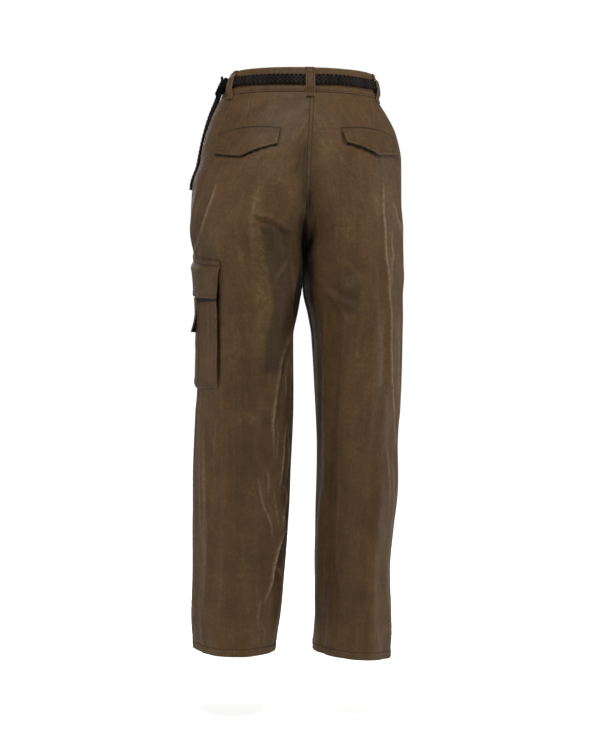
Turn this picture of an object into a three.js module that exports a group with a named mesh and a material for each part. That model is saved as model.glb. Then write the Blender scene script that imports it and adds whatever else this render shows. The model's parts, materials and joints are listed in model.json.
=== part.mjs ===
// Cargo trousers in the hollow form they take when worn: high waist, wide straight legs, two flapped
// back pockets, one cargo pocket on the wearer's left leg, and a braided belt tied at the left hip.
//
// Millimetres, +Z up, the front faces -Y, the wearer's left is +X. The origin is the middle of the
// waist opening, half way down the waistband, where the wearer's waist holds the garment.
//
// The cloth is two halves, left and right. Each half is a tube with rounded sections. Above the crotch
// its sections reach past the centre plane and are cut there, which leaves the crotch seam; below it
// they are whole and make the leg. A place on the cloth is a drop below the waistband's top edge and
// an arc round the section from the side seam, positive towards the back.

import * as THREE from "three";

// Driving sizes.
const LENGTH = 1062; // waistband's top edge to hem, at the side
const BAND_HEIGHT = 45;
const BAND_COLUMNS = 38; // the waistband and the belt share their columns
const CROTCH_DROP = 345;
const CLOTH = 1.2;
const DOUBLE_CLOTH = 2;
const SEAM_GAP = 0.3;
const REST = 0.4; // between a piece and what it lies on
const HEM = { height: 14, wall: 2.4, step: 1 };
const LEG_COLUMNS = 11;
const EVEN_SHARE = 0.6; // of a panel's columns, the ones evenly spaced
const ROW_STEP = 36;
const LEAN_POWER = 1.5; // how quickly the seat's lean dies out towards the side seams
const CROTCH_CURVE = 100; // the height over which the crotch seam turns under

const BELT = { width: 21, thickness: 3.8, drop: 27, ease: 22 };
const KNOT = { arc: -6, halfLength: 18, halfHeight: 17, thickness: 10, round: 0.45 };
const TAIL_ARC = -14; // the hanging end's place in front of the side seam
const LOOP = { width: 16, height: 55, thickness: 2, slope: 9, ease: 2 };
const LOOP_FROM_BACK = { top: 148, bottom: 156 }; // side loops, measured from the centre back
const LOOP_FROM_FRONT = 92; // front loops, measured from the centre front
const FLY = { width: 10, length: 172, pointed: 0.5 };
const LAP = { before: 14, past: 40 }; // the waistband's lapped end, either side of the centre front
const MOUTH = { width: 44, length: 158, under: 12, depth: 1.2, columns: 6 }; // slanted front pocket openings
const CARGO = {
  centreArc: 12, // behind the side seam
  top: 364,
  bottom: 578,
  lift: 3.5,
  pleatHalf: 16,
  pleatEdge: 1.2,
  pleatRise: 1.6,
  rows: 8,
  bellows: { rest: 0.7, wall: 2.2, width: 12, inset: 2 },
};
const CARGO_FLAP = {
  columns: 13,
  step: 8, // the height in which it rises from its seam over the pocket
  middle: 42,
  top: 350, // at its rear corner; its front corner is higher
  bottom: 418,
  rise: 0.13, // of the top edge towards the front, and of the bottom edge
  riseBelow: 0.085,
  halfTop: 103,
  halfBottom: 87,
  rest: 0.8,
  lift: 7,
  seam: 10,
};
const TAB = { halfWidth: 14, length: 60, flare: 6, patch: 24, margin: 2 };

// Half widths and depths of the seat, a row for each level. reach is how far the section carries on
// past the centre plane, as a share of its outer half width: 1 is a full oval, 0 is the crotch.
// lean is how far the back of the seat is pulled towards the wearer's left.
const TORSO = table("drop outerLeft outerRight reach back front square lean", [
  [0, 132, 132, 1, 92, 96, 2.1, 0],
  [45, 150, 140, 1, 99, 102, 2.1, 0],
  [78, 163, 157, 0.97, 108, 107, 2.15, 2],
  [110, 173, 172, 0.93, 117, 110, 2.2, 5],
  [165, 189, 184, 0.84, 127, 112, 2.2, 9],
  [205, 203, 184, 0.7, 131, 112, 2.2, 11],
  [235, 205, 184, 0.5, 131, 111, 2.2, 12],
  [260, 206, 184, 0.28, 130, 111, 2.25, 12],
  [285, 206, 184, 0.12, 128, 110, 2.3, 12],
  [310, 204, 183, 0.035, 126, 110, 2.3, 11],
  [330, 201, 183, 0.008, 124, 110, 2.35, 10],
  [CROTCH_DROP, 199, 183, 0, 122, 110, 2.4, 8],
]);

// The legs hang apart: outer and inner are distances from the centre plane.
const LEFT_LEG = table("drop outer inner back front square lean", [
  [375, 195, 2, 120, 110, 2.4, 4],
  [403, 193, 4, 117, 109, 2.35, 2],
  [440, 191, 11, 113, 107, 2.3, 0],
  [485, 191, 20, 108, 104, 2.25, 0],
  [596, 195, 20, 99, 98, 2.2, 0],
  [751, 201, 24, 94, 92, 2.15, 0],
  [907, 202, 33, 92, 92, 2.1, 0],
  [995, 204, 41, 94, 95, 2.1, 0],
  [LENGTH, 199, 53, 97, 101, 2.1, 0],
]);
const RIGHT_LEG = table("drop outer inner back front square lean", [
  [375, 184, 3, 121, 112, 2.4, 4],
  [403, 183, 5, 120, 112, 2.35, 2],
  [440, 183, 13, 118, 113, 2.3, 0],
  [485, 181, 20, 115, 114, 2.25, 0],
  [596, 176, 27, 109, 113, 2.2, 0],
  [685, 172, 30, 107, 110, 2.2, 0],
  [751, 175, 29, 106, 108, 2.15, 0],
  [835, 166, 26, 106, 108, 2.1, 0],
  [907, 160, 24, 106, 108, 2.1, 0],
  [995, 162, 24, 103, 106, 2.1, 0],
  [LENGTH, 162, 20, 100, 102, 2.1, 0],
]);

// The largest folds: straight ridges (height above 0) and troughs (below 0) from one place on the
// cloth to another, fading out at both ends. across is the distance over which one falls away.
const FOLDS = table("side drop1 arc1 drop2 arc2 across height", [
  ["left", 205, 62, 330, 8, 15, 5],
  ["left", 240, 84, 350, 40, 18, -4],
  ["left", 470, 245, 620, 215, 16, 5],
  ["left", 740, 225, 1010, 178, 20, 6],
  ["left", 760, 190, 980, 150, 22, -5],
  ["left", 650, -50, 1000, -70, 30, 5],
  ["left", 430, -230, 640, -190, 22, 5],
  ["left", 760, -215, 980, -180, 22, 5],
  ["right", 190, 60, 440, 42, 14, 4],
  ["right", 420, 46, 760, 40, 14, 4],
  ["right", 330, 215, 400, 150, 20, -5],
  ["right", 780, -30, 1030, -20, 18, 5],
  ["right", 440, -240, 640, -210, 22, 5],
  ["right", 760, -120, 1000, -100, 26, 5],
]);

// The belt's hanging end: it falls free of the knot and comes to rest on the hip.
const TAIL = table("drop lift", [
  [47, 5],
  [62, 3],
  [80, 1.2],
  [105, 1],
  [130, 1],
  [152, 1],
  [172, 1],
  [192, 1],
  [212, 1],
]);

// How each leg's hem hangs: its drop below LENGTH, and how much that grows outwards and backwards.
const HANG = {
  left: { below: -8, outwards: 0, backwards: 0.045 },
  right: { below: 4, outwards: 0.08, backwards: 0.02 },
};

const SIDES = {
  left: { name: "left", sign: 1, rows: sideRows("outerLeft", LEFT_LEG) },
  right: { name: "right", sign: -1, rows: sideRows("outerRight", RIGHT_LEG) },
};

const CLOTH_LOOK = { color: 0x5b4a36, roughness: 0.55, metalness: 0 };
const TRIM_LOOK = { color: 0x16130f, roughness: 0.5, metalness: 0 };

// ---------------------------------------------------------------- tables and curves

function table(columns, rows) {
  const names = columns.split(" ");
  return rows.map((row) => Object.fromEntries(names.map((name, i) => [name, row[i]])));
}

function sideRows(outer, leg) {
  const torso = TORSO.map((row) => ({ ...row, outer: row[outer], inner: -row.reach * row[outer] }));
  return [...torso, ...leg];
}

// A smooth curve through one column of a table that never swings past its rows.
function through(rows, column) {
  const x = rows.map((row) => row.drop);
  const y = rows.map((row) => row[column]);
  const last = x.length - 1;
  const rise = x.slice(1).map((end, i) => (y[i + 1] - y[i]) / (end - x[i]));
  const slope = y.map((_, i) => {
    const before = rise[Math.max(0, i - 1)];
    const after = rise[Math.min(last - 1, i)];
    return before * after > 0 ? (2 * before * after) / (before + after) : 0;
  });
  return (at) => {
    let i = 0;
    while (i < last - 1 && at > x[i + 1]) i += 1;
    const span = x[i + 1] - x[i];
    const t = THREE.MathUtils.clamp((at - x[i]) / span, 0, 1);
    const s = 1 - t;
    return (
      s * s * ((1 + 2 * t) * y[i] + t * span * slope[i]) +
      t * t * ((1 + 2 * s) * y[i + 1] - s * span * slope[i + 1])
    );
  };
}

function mix(a, b, share) {
  return a + (b - a) * share;
}

// ---------------------------------------------------------------- the cloth's form

const SECTION_POINTS = 80;
const sections = new Map();

function sizesOf(side) {
  const columns = ["outer", "inner", "back", "front", "square", "lean"];
  side.curves ??= Object.fromEntries(columns.map((column) => [column, through(side.rows, column)]));
  return side.curves;
}

// The section's oval at a level: its middle, half width, depths and squareness.
function ovalAt(side, drop) {
  const size = sizesOf(side);
  const outer = size.outer(drop);
  const inner = size.inner(drop);
  return {
    middle: (outer + inner) / 2,
    half: (outer - inner) / 2,
    back: size.back(drop),
    front: size.front(drop),
    square: size.square(drop),
    lean: size.lean(drop),
  };
}

// Zero on the oval, above zero outside it.
function outside(oval, x, y) {
  const across = Math.abs((x - oval.middle) / oval.half) ** oval.square;
  const deep = Math.abs(y / (y > 0 ? oval.back : oval.front)) ** oval.square;
  return across + deep - 1;
}

// One half of a section, from the side seam to the centre or the inseam, as points with their arcs.
function walk(oval, depth, cut) {
  const points = [];
  let arc = 0;
  for (let i = 0; i <= SECTION_POINTS; i += 1) {
    const angle = (cut * i) / SECTION_POINTS;
    const c = Math.cos(angle);
    const x = oval.middle + oval.half * Math.sign(c) * Math.abs(c) ** (2 / oval.square);
    const y = depth * Math.sin(angle) ** (2 / oval.square);
    const before = points[i - 1];
    arc += before ? Math.hypot(x - before.x, y - before.y) : 0;
    points.push({ x, y, arc });
  }
  return points;
}

function sectionAt(side, drop) {
  const key = `${side.name} ${drop.toFixed(3)}`;
  if (!sections.has(key)) {
    const oval = ovalAt(side, drop);
    const beyond = (oval.middle - SEAM_GAP / 2) / oval.half;
    const cosine = -Math.sign(beyond) * Math.abs(beyond) ** (oval.square / 2);
    const cut = beyond >= 1 ? Math.PI : Math.acos(cosine);
    sections.set(key, { oval, back: walk(oval, oval.back, cut), front: walk(oval, -oval.front, cut) });
  }
  return sections.get(key);
}

// The arc from the side seam to the centre seam or the inseam.
function backArc(side, drop) {
  return sectionAt(side, drop).back[SECTION_POINTS].arc;
}

function frontArc(side, drop) {
  return sectionAt(side, drop).front[SECTION_POINTS].arc;
}

function alongWalk(points, arc) {
  let low = 0;
  let high = points.length - 1;
  while (high - low > 1) {
    const middle = (low + high) >> 1;
    if (points[middle].arc > arc) high = middle;
    else low = middle;
  }
  const share = (arc - points[low].arc) / (points[high].arc - points[low].arc);
  return { x: mix(points[low].x, points[high].x, share), y: mix(points[low].y, points[high].y, share) };
}

function foldHeight(side, drop, arc) {
  let height = 0;
  for (const fold of FOLDS) {
    if (fold.side !== side.name) continue;
    const run = [fold.drop2 - fold.drop1, fold.arc2 - fold.arc1];
    const from = [drop - fold.drop1, arc - fold.arc1];
    const length = Math.hypot(...run);
    const along = (from[0] * run[0] + from[1] * run[1]) / length ** 2;
    if (along <= 0 || along >= 1) continue;
    const away = (from[0] * run[1] - from[1] * run[0]) / length / fold.across;
    height += fold.height * Math.sin(Math.PI * along) * Math.exp(-away * away);
  }
  return height;
}

// A point on the cloth, moved out from its face by lift.
function skin(side, drop, arc, lift = 0) {
  const section = sectionAt(side, drop);
  const { oval } = section;
  const at = arc >= 0 ? alongWalk(section.back, arc) : alongWalk(section.front, -arc);
  const across = 1e-3;
  const down = 1;
  const normal = new THREE.Vector3(
    (outside(oval, at.x + across, at.y) - outside(oval, at.x - across, at.y)) / across,
    (outside(oval, at.x, at.y + across) - outside(oval, at.x, at.y - across)) / across,
    (outside(ovalAt(side, drop - down), at.x, at.y) - outside(ovalAt(side, drop + down), at.x, at.y)) / down,
  ).normalize();
  const hang = HANG[side.name];
  const sag = hang.below + hang.outwards * (at.x - oval.middle) + hang.backwards * at.y;
  const low = THREE.MathUtils.smoothstep(drop, 2 * CROTCH_DROP, LENGTH);
  const point = new THREE.Vector3(at.x, at.y, BAND_HEIGHT / 2 - drop - low * sag);
  point.addScaledVector(normal, lift + foldHeight(side, drop, arc));
  point.x *= side.sign;
  point.x += oval.lean * Math.max(0, point.y / oval.back) ** LEAN_POWER;
  return point;
}

// ---------------------------------------------------------------- solids

// A closed wall from two grids of points, its outer and inner face. A ring's last column joins its first.
function wall(grid, ring = false) {
  const rows = grid.length;
  const columns = grid[0].length;
  const across = ring ? columns : columns - 1;
  const corners = [];
  for (const face of ["outer", "inner"])
    for (const row of grid) for (const place of row) corners.push(place[face]);
  const index = [];
  const at = (face, i, j) => (face * rows + i) * columns + (j % columns);
  const quad = (a, b, c, d) => index.push(a, b, c, a, c, d);
  for (let i = 0; i < rows - 1; i += 1)
    for (let j = 0; j < across; j += 1) {
      quad(at(0, i, j), at(0, i + 1, j), at(0, i + 1, j + 1), at(0, i, j + 1));
      quad(at(1, i, j), at(1, i, j + 1), at(1, i + 1, j + 1), at(1, i + 1, j));
    }
  for (let j = 0; j < across; j += 1) {
    quad(at(0, 0, j), at(0, 0, j + 1), at(1, 0, j + 1), at(1, 0, j));
    quad(at(0, rows - 1, j + 1), at(0, rows - 1, j), at(1, rows - 1, j), at(1, rows - 1, j + 1));
  }
  if (!ring)
    for (let i = 0; i < rows - 1; i += 1) {
      quad(at(0, i + 1, 0), at(0, i, 0), at(1, i, 0), at(1, i + 1, 0));
      quad(at(0, i, across), at(0, i + 1, across), at(1, i + 1, across), at(1, i, across));
    }
  let volume = 0;
  for (let i = 0; i < index.length; i += 3) {
    const [a, b, c] = index.slice(i, i + 3).map((k) => corners[k]);
    volume += a.dot(new THREE.Vector3().crossVectors(b, c));
  }
  if (volume < 0) index.reverse();
  const geometry = new THREE.BufferGeometry();
  geometry.setAttribute("position", new THREE.Float32BufferAttribute(corners.flatMap((p) => [...p]), 3));
  geometry.setIndex(index);
  return geometry;
}

// A grid of places on one side of the garment. place(i, j) gives drop, arc, lift and the wall under it.
function lay(side, rows, columns, place) {
  const grid = [];
  for (let i = 0; i < rows; i += 1) {
    grid.push([]);
    for (let j = 0; j < columns; j += 1) {
      const { drop, arc, lift, thick } = place(i / (rows - 1), j / (columns - 1));
      grid[i].push({ outer: skin(side, drop, arc, lift + thick), inner: skin(side, drop, arc, lift) });
    }
  }
  return grid;
}

const trousers = new THREE.Group();

function add(name, look, geometry) {
  geometry.computeVertexNormals();
  const mesh = new THREE.Mesh(geometry, new THREE.MeshStandardMaterial(look));
  mesh.name = name;
  trousers.add(mesh);
}

// ---------------------------------------------------------------- leg panels

// Levels of the leg panels: even steps, closer together round the crotch and at the hem.
function panelDrops() {
  const drops = [];
  const evenly = (from, to, step) => {
    const count = Math.round((to - from) / step);
    for (let i = 0; i < count; i += 1) drops.push(mix(from, to, i / count));
  };
  evenly(BAND_HEIGHT + SEAM_GAP, CROTCH_DROP - CROTCH_CURVE, ROW_STEP);
  evenly(CROTCH_DROP - CROTCH_CURVE, CROTCH_DROP, ROW_STEP / 2);
  evenly(CROTCH_DROP, LENGTH - HEM.height, ROW_STEP);
  drops.push(LENGTH - HEM.height, LENGTH - HEM.height + HEM.step, LENGTH);
  return drops;
}

function clothAt(drop) {
  return drop > LENGTH - HEM.height ? HEM.wall : CLOTH;
}

// How far in front of the side seam the front panel starts: its slanted pocket mouth, then the seam.
function mouthAt(drop) {
  const share = (drop - BAND_HEIGHT) / MOUTH.length;
  return SEAM_GAP / 2 + MOUTH.width * Math.max(0, 1 - share);
}

// The panel's columns run down evenly from its first edge. The last few take up the quick change in
// width at the crotch, so the others keep to their lines.
function panel(side, startArc, endArc) {
  const drops = panelDrops();
  const near = [-60, -40, -20, 0, 20, 40, 60];
  const widthNear = (drop) => {
    const levels = near.map((step) => THREE.MathUtils.clamp(drop + step, BAND_HEIGHT, LENGTH));
    return levels.reduce((sum, level) => sum + endArc(level) - startArc(level), 0) / near.length;
  };
  return lay(side, drops.length, LEG_COLUMNS, (down, across) => {
    const drop = drops[Math.round(down * (drops.length - 1))];
    const thick = clothAt(drop);
    const start = startArc(drop);
    const line = start + widthNear(drop) * Math.min(across, EVEN_SHARE);
    const past = Math.max(0, (across - EVEN_SHARE) / (1 - EVEN_SHARE));
    return { drop, arc: mix(line, endArc(drop), past), lift: -thick, thick };
  });
}

function addPanels(side) {
  const trim = SEAM_GAP / 2;
  const back = panel(side, () => trim, (drop) => backArc(side, drop) - trim);
  const front = panel(side, (drop) => -mouthAt(drop), (drop) => -(frontArc(side, drop) - trim));
  add(`back_${side.name}`, CLOTH_LOOK, wall(back));
  add(`front_${side.name}`, CLOTH_LOOK, wall(front));
}

// The cloth that shows in a front pocket's slanted mouth, just under the front panel's edge.
function addPocketFacing(side) {
  const drops = panelDrops().filter((drop) => drop <= BAND_HEIGHT + MOUTH.length + ROW_STEP);
  const grid = lay(side, drops.length, MOUTH.columns, (down, across) => {
    const drop = drops[Math.round(down * (drops.length - 1))];
    const arc = -mix(SEAM_GAP / 2, mouthAt(drop) + MOUTH.under, across);
    return { drop, arc, lift: -2 * CLOTH - MOUTH.depth, thick: CLOTH };
  });
  add(`front_pocket_${side.name}`, CLOTH_LOOK, wall(grid));
}

// The fly's lapped edge: cloth of the left front that carries on over the right front.
function addFly() {
  const grid = lay(SIDES.right, 6, 3, (down, across) => {
    const drop = mix(BAND_HEIGHT + SEAM_GAP, BAND_HEIGHT + FLY.length, down);
    const width = FLY.width * (down === 1 ? FLY.pointed : 1);
    const arc = -(frontArc(SIDES.right, drop) - SEAM_GAP / 2 - width * across);
    return { drop, arc, lift: REST, thick: CLOTH };
  });
  add("fly_lap", CLOTH_LOOK, wall(grid));
}

// ---------------------------------------------------------------- waistband, loops and belt

// A strip round the waist. Its columns start at the centre front on the wearer's right, pass the
// centre back, and end at the centre front on the left. liftAt(side, fromFront) is its inner face.
function roundWaist(columns, levels, liftAt, thick) {
  return levels.map((drop) => {
    const row = [];
    for (let j = 0; j < columns; j += 1) {
      const share = j / columns;
      const side = share < 0.5 ? SIDES.right : SIDES.left;
      const gone = (share < 0.5 ? share : 1 - share) * 2;
      const front = frontArc(side, drop);
      const arc = mix(-front, backArc(side, drop), gone);
      const lift = liftAt(side, arc + front);
      row.push({ outer: skin(side, drop, arc, lift + thick), inner: skin(side, drop, arc, lift) });
    }
    return row;
  });
}

// The waistband is one strip. Its left end runs on past the centre front and laps over the right end.
function addWaistband() {
  const levels = [0, BAND_HEIGHT / 3, (2 * BAND_HEIGHT) / 3, BAND_HEIGHT];
  const lift = -CLOTH;
  const grid = roundWaist(BAND_COLUMNS, levels, () => lift, DOUBLE_CLOTH);
  const end = (side, drop, arc, raise) => ({
    outer: skin(side, drop, arc, lift + DOUBLE_CLOTH + raise),
    inner: skin(side, drop, arc, lift + raise),
  });
  const step = DOUBLE_CLOTH + REST;
  levels.forEach((drop, i) => {
    const left = frontArc(SIDES.left, drop) - SEAM_GAP / 2;
    const right = frontArc(SIDES.right, drop) - SEAM_GAP / 2;
    grid[i].push(end(SIDES.left, drop, -(left - LAP.before), 0), end(SIDES.left, drop, -left, step));
    for (const past of [LAP.past / 2, LAP.past])
      grid[i].push(end(SIDES.right, drop, -(right - past), step));
  });
  add("waistband", CLOTH_LOOK, wall(grid));
}

// A belt loop: flat on the band at its top, out over the belt, and sewn down below the band's seam.
const BAND_FACE = DOUBLE_CLOTH - CLOTH + REST;
const OVER_BELT = BAND_FACE + BELT.thickness + 2 * REST;
const BELT_TOP = BELT.drop - BELT.width / 2;
const BELT_BOTTOM = BELT.drop + BELT.width / 2;
const LOOP_PATH = table("drop lift", [
  [0, BAND_FACE],
  [BELT_TOP - LOOP.slope, BAND_FACE],
  [BELT_TOP - LOOP.ease, OVER_BELT],
  [BELT_BOTTOM + LOOP.ease, OVER_BELT],
  [BAND_HEIGHT - LOOP.ease / 2, BAND_FACE],
  [LOOP.height, BAND_FACE],
]);

function addLoop(name, side, arcAt) {
  const grid = lay(side, LOOP_PATH.length, 3, (down, across) => {
    const { drop, lift } = LOOP_PATH[Math.round(down * (LOOP_PATH.length - 1))];
    const arc = arcAt(drop) + mix(-LOOP.width / 2, LOOP.width / 2, across);
    return { drop, arc, lift, thick: LOOP.thickness };
  });
  add(name, CLOTH_LOOK, wall(grid));
}

// The loop over the centre back seam crosses from one side to the other.
function addBackLoop() {
  const grid = LOOP_PATH.map(({ drop, lift }) => {
    const place = (side) => {
      const arc = backArc(side, drop) - LOOP.width / 2;
      return { outer: skin(side, drop, arc, lift + LOOP.thickness), inner: skin(side, drop, arc, lift) };
    };
    return [place(SIDES.left), place(SIDES.right)];
  });
  add("loop_back", CLOTH_LOOK, wall(grid));
}

function loopPlace(drop) {
  return mix(LOOP_FROM_BACK.top, LOOP_FROM_BACK.bottom, drop / LOOP.height);
}

function addLoops() {
  addBackLoop();
  for (const side of Object.values(SIDES)) {
    addLoop(`loop_${side.name}`, side, (drop) => backArc(side, drop) - loopPlace(drop));
    addLoop(`loop_front_${side.name}`, side, (drop) => LOOP_FROM_FRONT - frontArc(side, drop));
  }
}

// The belt: a ring through the loops, the knot on its outside at the left hip, and the hanging end.
function addBelt() {
  // Over the waistband's lapped end the belt stands out by the lap's own rise.
  const liftAt = (side, fromFront) => {
    const lap = side.sign > 0 ? LAP.before : LAP.past;
    return fromFront < lap + BELT.ease ? BAND_FACE + DOUBLE_CLOTH + REST : BAND_FACE;
  };
  const belt = roundWaist(BAND_COLUMNS, [BELT_TOP, BELT.drop, BELT_BOTTOM], liftAt, BELT.thickness);
  add("belt", TRIM_LOOK, wall(belt, true));

  const beltFace = BAND_FACE + BELT.thickness + REST;
  const knot = lay(SIDES.left, 5, 5, (down, across) => {
    const v = 2 * down - 1;
    const u = 2 * across - 1;
    const round = Math.sqrt(1 - KNOT.round * (u * u + v * v));
    return {
      drop: BELT.drop + KNOT.halfHeight * v,
      arc: KNOT.arc + KNOT.halfLength * u,
      lift: beltFace,
      thick: KNOT.thickness * round,
    };
  });
  add("belt_knot", TRIM_LOOK, wall(knot));

  const tail = lay(SIDES.left, TAIL.length, 3, (down, across) => {
    const { drop, lift } = TAIL[Math.round(down * (TAIL.length - 1))];
    return { drop, arc: TAIL_ARC + mix(-1, 1, across) * (BELT.width / 2), lift, thick: BELT.thickness };
  });
  add("belt_tail", TRIM_LOOK, wall(tail));
}

// ---------------------------------------------------------------- back pocket flaps

// Both edges of a flap: across runs from its inner side to the hip, and its point is where it is deepest.
const BACK_FLAP = table("across top deep", [
  [0, 115, 30],
  [0.14, 113, 36],
  [0.28, 112, 42],
  [0.41, 112, 48],
  [0.54, 113, 54],
  [0.66, 115, 50],
  [0.78, 118, 45],
  [0.89, 121, 40],
  [1, 124, 34],
]);
const BACK_FLAP_WIDTH = 130;
const BACK_FLAP_STAND = 3; // its free edge off the seat
const BACK_FLAP_PLACE = {
  left: { fromCentre: 50, raise: 0, deep: 1, slant: 4 },
  right: { fromCentre: 59, raise: 2, deep: 0.9, slant: 11 },
};

function addBackFlap(side) {
  const place = BACK_FLAP_PLACE[side.name];
  const grid = lay(side, 5, BACK_FLAP.length, (down, column) => {
    const { across, top, deep } = BACK_FLAP[Math.round(column * (BACK_FLAP.length - 1))];
    const drop = top - place.raise + deep * place.deep * down;
    const fromCentre = place.fromCentre + BACK_FLAP_WIDTH * across + place.slant * down * (1 - across);
    return {
      drop,
      arc: backArc(side, drop) - fromCentre,
      lift: REST + BACK_FLAP_STAND * down * down,
      thick: DOUBLE_CLOTH,
    };
  });
  add(`back_flap_${side.name}`, CLOTH_LOOK, wall(grid));
}

// ---------------------------------------------------------------- cargo pocket

function cargoArc(u) {
  return CARGO.centreArc + u;
}

// Places across the pocket: its edge, the bellows' inner edge, the panel, the pleat and its middle.
const CARGO_HALF = [79, 67, 55, 43, 30, CARGO.pleatHalf + CARGO.pleatEdge, CARGO.pleatHalf];
const CARGO_COLUMNS = [...CARGO_HALF.map((u) => -u), 0, ...CARGO_HALF.toReversed()];

// The pocket's face: one panel with a raised box pleat down its middle.
function addCargoFace() {
  const pleat = CARGO.pleatHalf;
  const columns = CARGO_COLUMNS;
  const grid = lay(SIDES.left, CARGO.rows, columns.length, (down, share) => {
    const u = columns[Math.round(share * (columns.length - 1))];
    const raised = Math.abs(u) <= pleat ? CARGO.pleatRise : 0;
    const drop = mix(CARGO.top, CARGO.bottom, down);
    return { drop, arc: cargoArc(u), lift: CARGO.lift + raised, thick: CLOTH };
  });
  add("cargo_pocket", CLOTH_LOOK, wall(grid));
}

// The bellows, folded flat under the face's two sides and bottom.
function addCargoBellows() {
  const { rest, inset, width, wall: thick } = CARGO.bellows;
  const half = CARGO_HALF[0] - inset;
  const bottom = CARGO.bottom - inset;
  const sideSteps = CARGO.rows - 1;
  const route = [];
  for (let i = 0; i < sideSteps; i += 1) route.push([-1, i / sideSteps]);
  for (const u of CARGO_COLUMNS) route.push([u / CARGO_HALF[0], 1]);
  for (let i = sideSteps - 1; i >= 0; i -= 1) route.push([1, i / sideSteps]);
  const grid = lay(SIDES.left, 2, route.length, (inward, along) => {
    const [u, v] = route[Math.round(along * (route.length - 1))];
    const fold = width * inward;
    return {
      drop: mix(CARGO.top, bottom - fold, v),
      arc: cargoArc(u * (half - fold)),
      lift: rest,
      thick,
    };
  });
  add("cargo_bellows", CLOTH_LOOK, wall(grid));
}

function addCargoFlap() {
  const flap = CARGO_FLAP;
  const deep = flap.bottom - flap.top;
  const levels = [0, flap.seam, flap.seam + flap.step, flap.middle, deep];
  const grid = lay(SIDES.left, levels.length, flap.columns, (down, across) => {
    const level = levels[Math.round(down * (levels.length - 1))];
    const share = level / deep;
    const half = mix(flap.halfTop, flap.halfBottom, share);
    const u = mix(-half, half, across);
    const rise = mix(flap.rise, flap.riseBelow, share) * (half - u);
    const lift = level <= flap.seam ? flap.rest : flap.lift;
    return { drop: flap.top + level - rise, arc: cargoArc(u), lift, thick: DOUBLE_CLOTH };
  });
  add("cargo_flap", CLOTH_LOOK, wall(grid));
}

// A pull tab under the flap's edge, with a square of touch fastener on its inner face.
function tabLift(drop) {
  const share = (drop - CARGO_FLAP.bottom) / TAB.length;
  return CARGO_FLAP.lift + TAB.flare * Math.max(0, share) ** 2;
}

function addCargoTab() {
  const start = CARGO_FLAP.bottom + REST;
  const tab = lay(SIDES.left, 6, 3, (down, across) => {
    const drop = start + TAB.length * down;
    const arc = cargoArc(mix(-TAB.halfWidth, TAB.halfWidth, across));
    return { drop, arc, lift: tabLift(drop), thick: DOUBLE_CLOTH };
  });
  add("cargo_tab", CLOTH_LOOK, wall(tab));
  const patch = lay(SIDES.left, 4, 3, (down, across) => {
    const drop = start + TAB.length - TAB.margin - TAB.patch * (1 - down);
    const arc = cargoArc(mix(-TAB.patch, TAB.patch, across) / 2);
    return { drop, arc, lift: tabLift(drop) - REST - CLOTH, thick: CLOTH };
  });
  add("cargo_tab_patch", TRIM_LOOK, wall(patch));
}

// ---------------------------------------------------------------- the whole garment

for (const side of Object.values(SIDES)) {
  addPanels(side);
  addPocketFacing(side);
  addBackFlap(side);
}
addFly();
addWaistband();
addLoops();
addBelt();
addCargoFace();
addCargoBellows();
addCargoFlap();
addCargoTab();

export default trousers;
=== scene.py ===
import json
import math

import bpy
import numpy as np
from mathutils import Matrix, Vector

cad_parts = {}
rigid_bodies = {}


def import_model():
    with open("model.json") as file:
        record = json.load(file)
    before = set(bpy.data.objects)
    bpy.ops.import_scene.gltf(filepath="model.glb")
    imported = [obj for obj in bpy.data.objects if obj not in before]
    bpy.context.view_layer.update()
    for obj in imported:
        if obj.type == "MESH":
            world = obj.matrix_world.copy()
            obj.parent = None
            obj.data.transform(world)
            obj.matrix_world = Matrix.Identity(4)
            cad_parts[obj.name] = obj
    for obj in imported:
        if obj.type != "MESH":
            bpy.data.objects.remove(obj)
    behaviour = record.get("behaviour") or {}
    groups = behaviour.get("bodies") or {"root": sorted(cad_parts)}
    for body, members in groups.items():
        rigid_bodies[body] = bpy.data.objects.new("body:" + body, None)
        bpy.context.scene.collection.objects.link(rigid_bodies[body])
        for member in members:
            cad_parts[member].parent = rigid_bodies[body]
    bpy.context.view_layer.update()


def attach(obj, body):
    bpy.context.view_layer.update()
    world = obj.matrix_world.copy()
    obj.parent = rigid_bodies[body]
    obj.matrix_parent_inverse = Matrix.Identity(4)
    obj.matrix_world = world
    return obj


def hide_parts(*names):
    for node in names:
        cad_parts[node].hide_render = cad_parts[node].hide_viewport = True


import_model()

# Lengths are millimetres here, as in the CAD source, and turn into metres when a mesh is made.
MM = 0.001

# ---------------------------------------------------------------- the cloth's form, as in the CAD source

LENGTH = 1062  # waistband's top edge to hem, at the side
BAND_HEIGHT = 45
CROTCH_DROP = 345
CLOTH = 1.2
SEAM_GAP = 0.3
LEAN_POWER = 1.5
HEM_HEIGHT = 14
HEM_WALL = 2.4
SECTION_POINTS = 160  # steps round half of one leg's section

TORSO = """drop outerLeft outerRight reach back front square lean
 0 132 132 1 92 96 2.1 0
 45 150 140 1 99 102 2.1 0
 78 163 157 .97 108 107 2.15 2
 110 173 172 .93 117 110 2.2 5
 165 189 184 .84 127 112 2.2 9
 205 203 184 .7 131 112 2.2 11
 235 205 184 .5 131 111 2.2 12
 260 206 184 .28 130 111 2.25 12
 285 206 184 .12 128 110 2.3 12
 310 204 183 .035 126 110 2.3 11
 330 201 183 .008 124 110 2.35 10
 345 199 183 0 122 110 2.4 8"""
LEFT_LEG = """drop outer inner back front square lean
 375 195 2 120 110 2.4 4
 403 193 4 117 109 2.35 2
 440 191 11 113 107 2.3 0
 485 191 20 108 104 2.25 0
 596 195 20 99 98 2.2 0
 751 201 24 94 92 2.15 0
 907 202 33 92 92 2.1 0
 995 204 41 94 95 2.1 0
 1062 199 53 97 101 2.1 0"""
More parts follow.
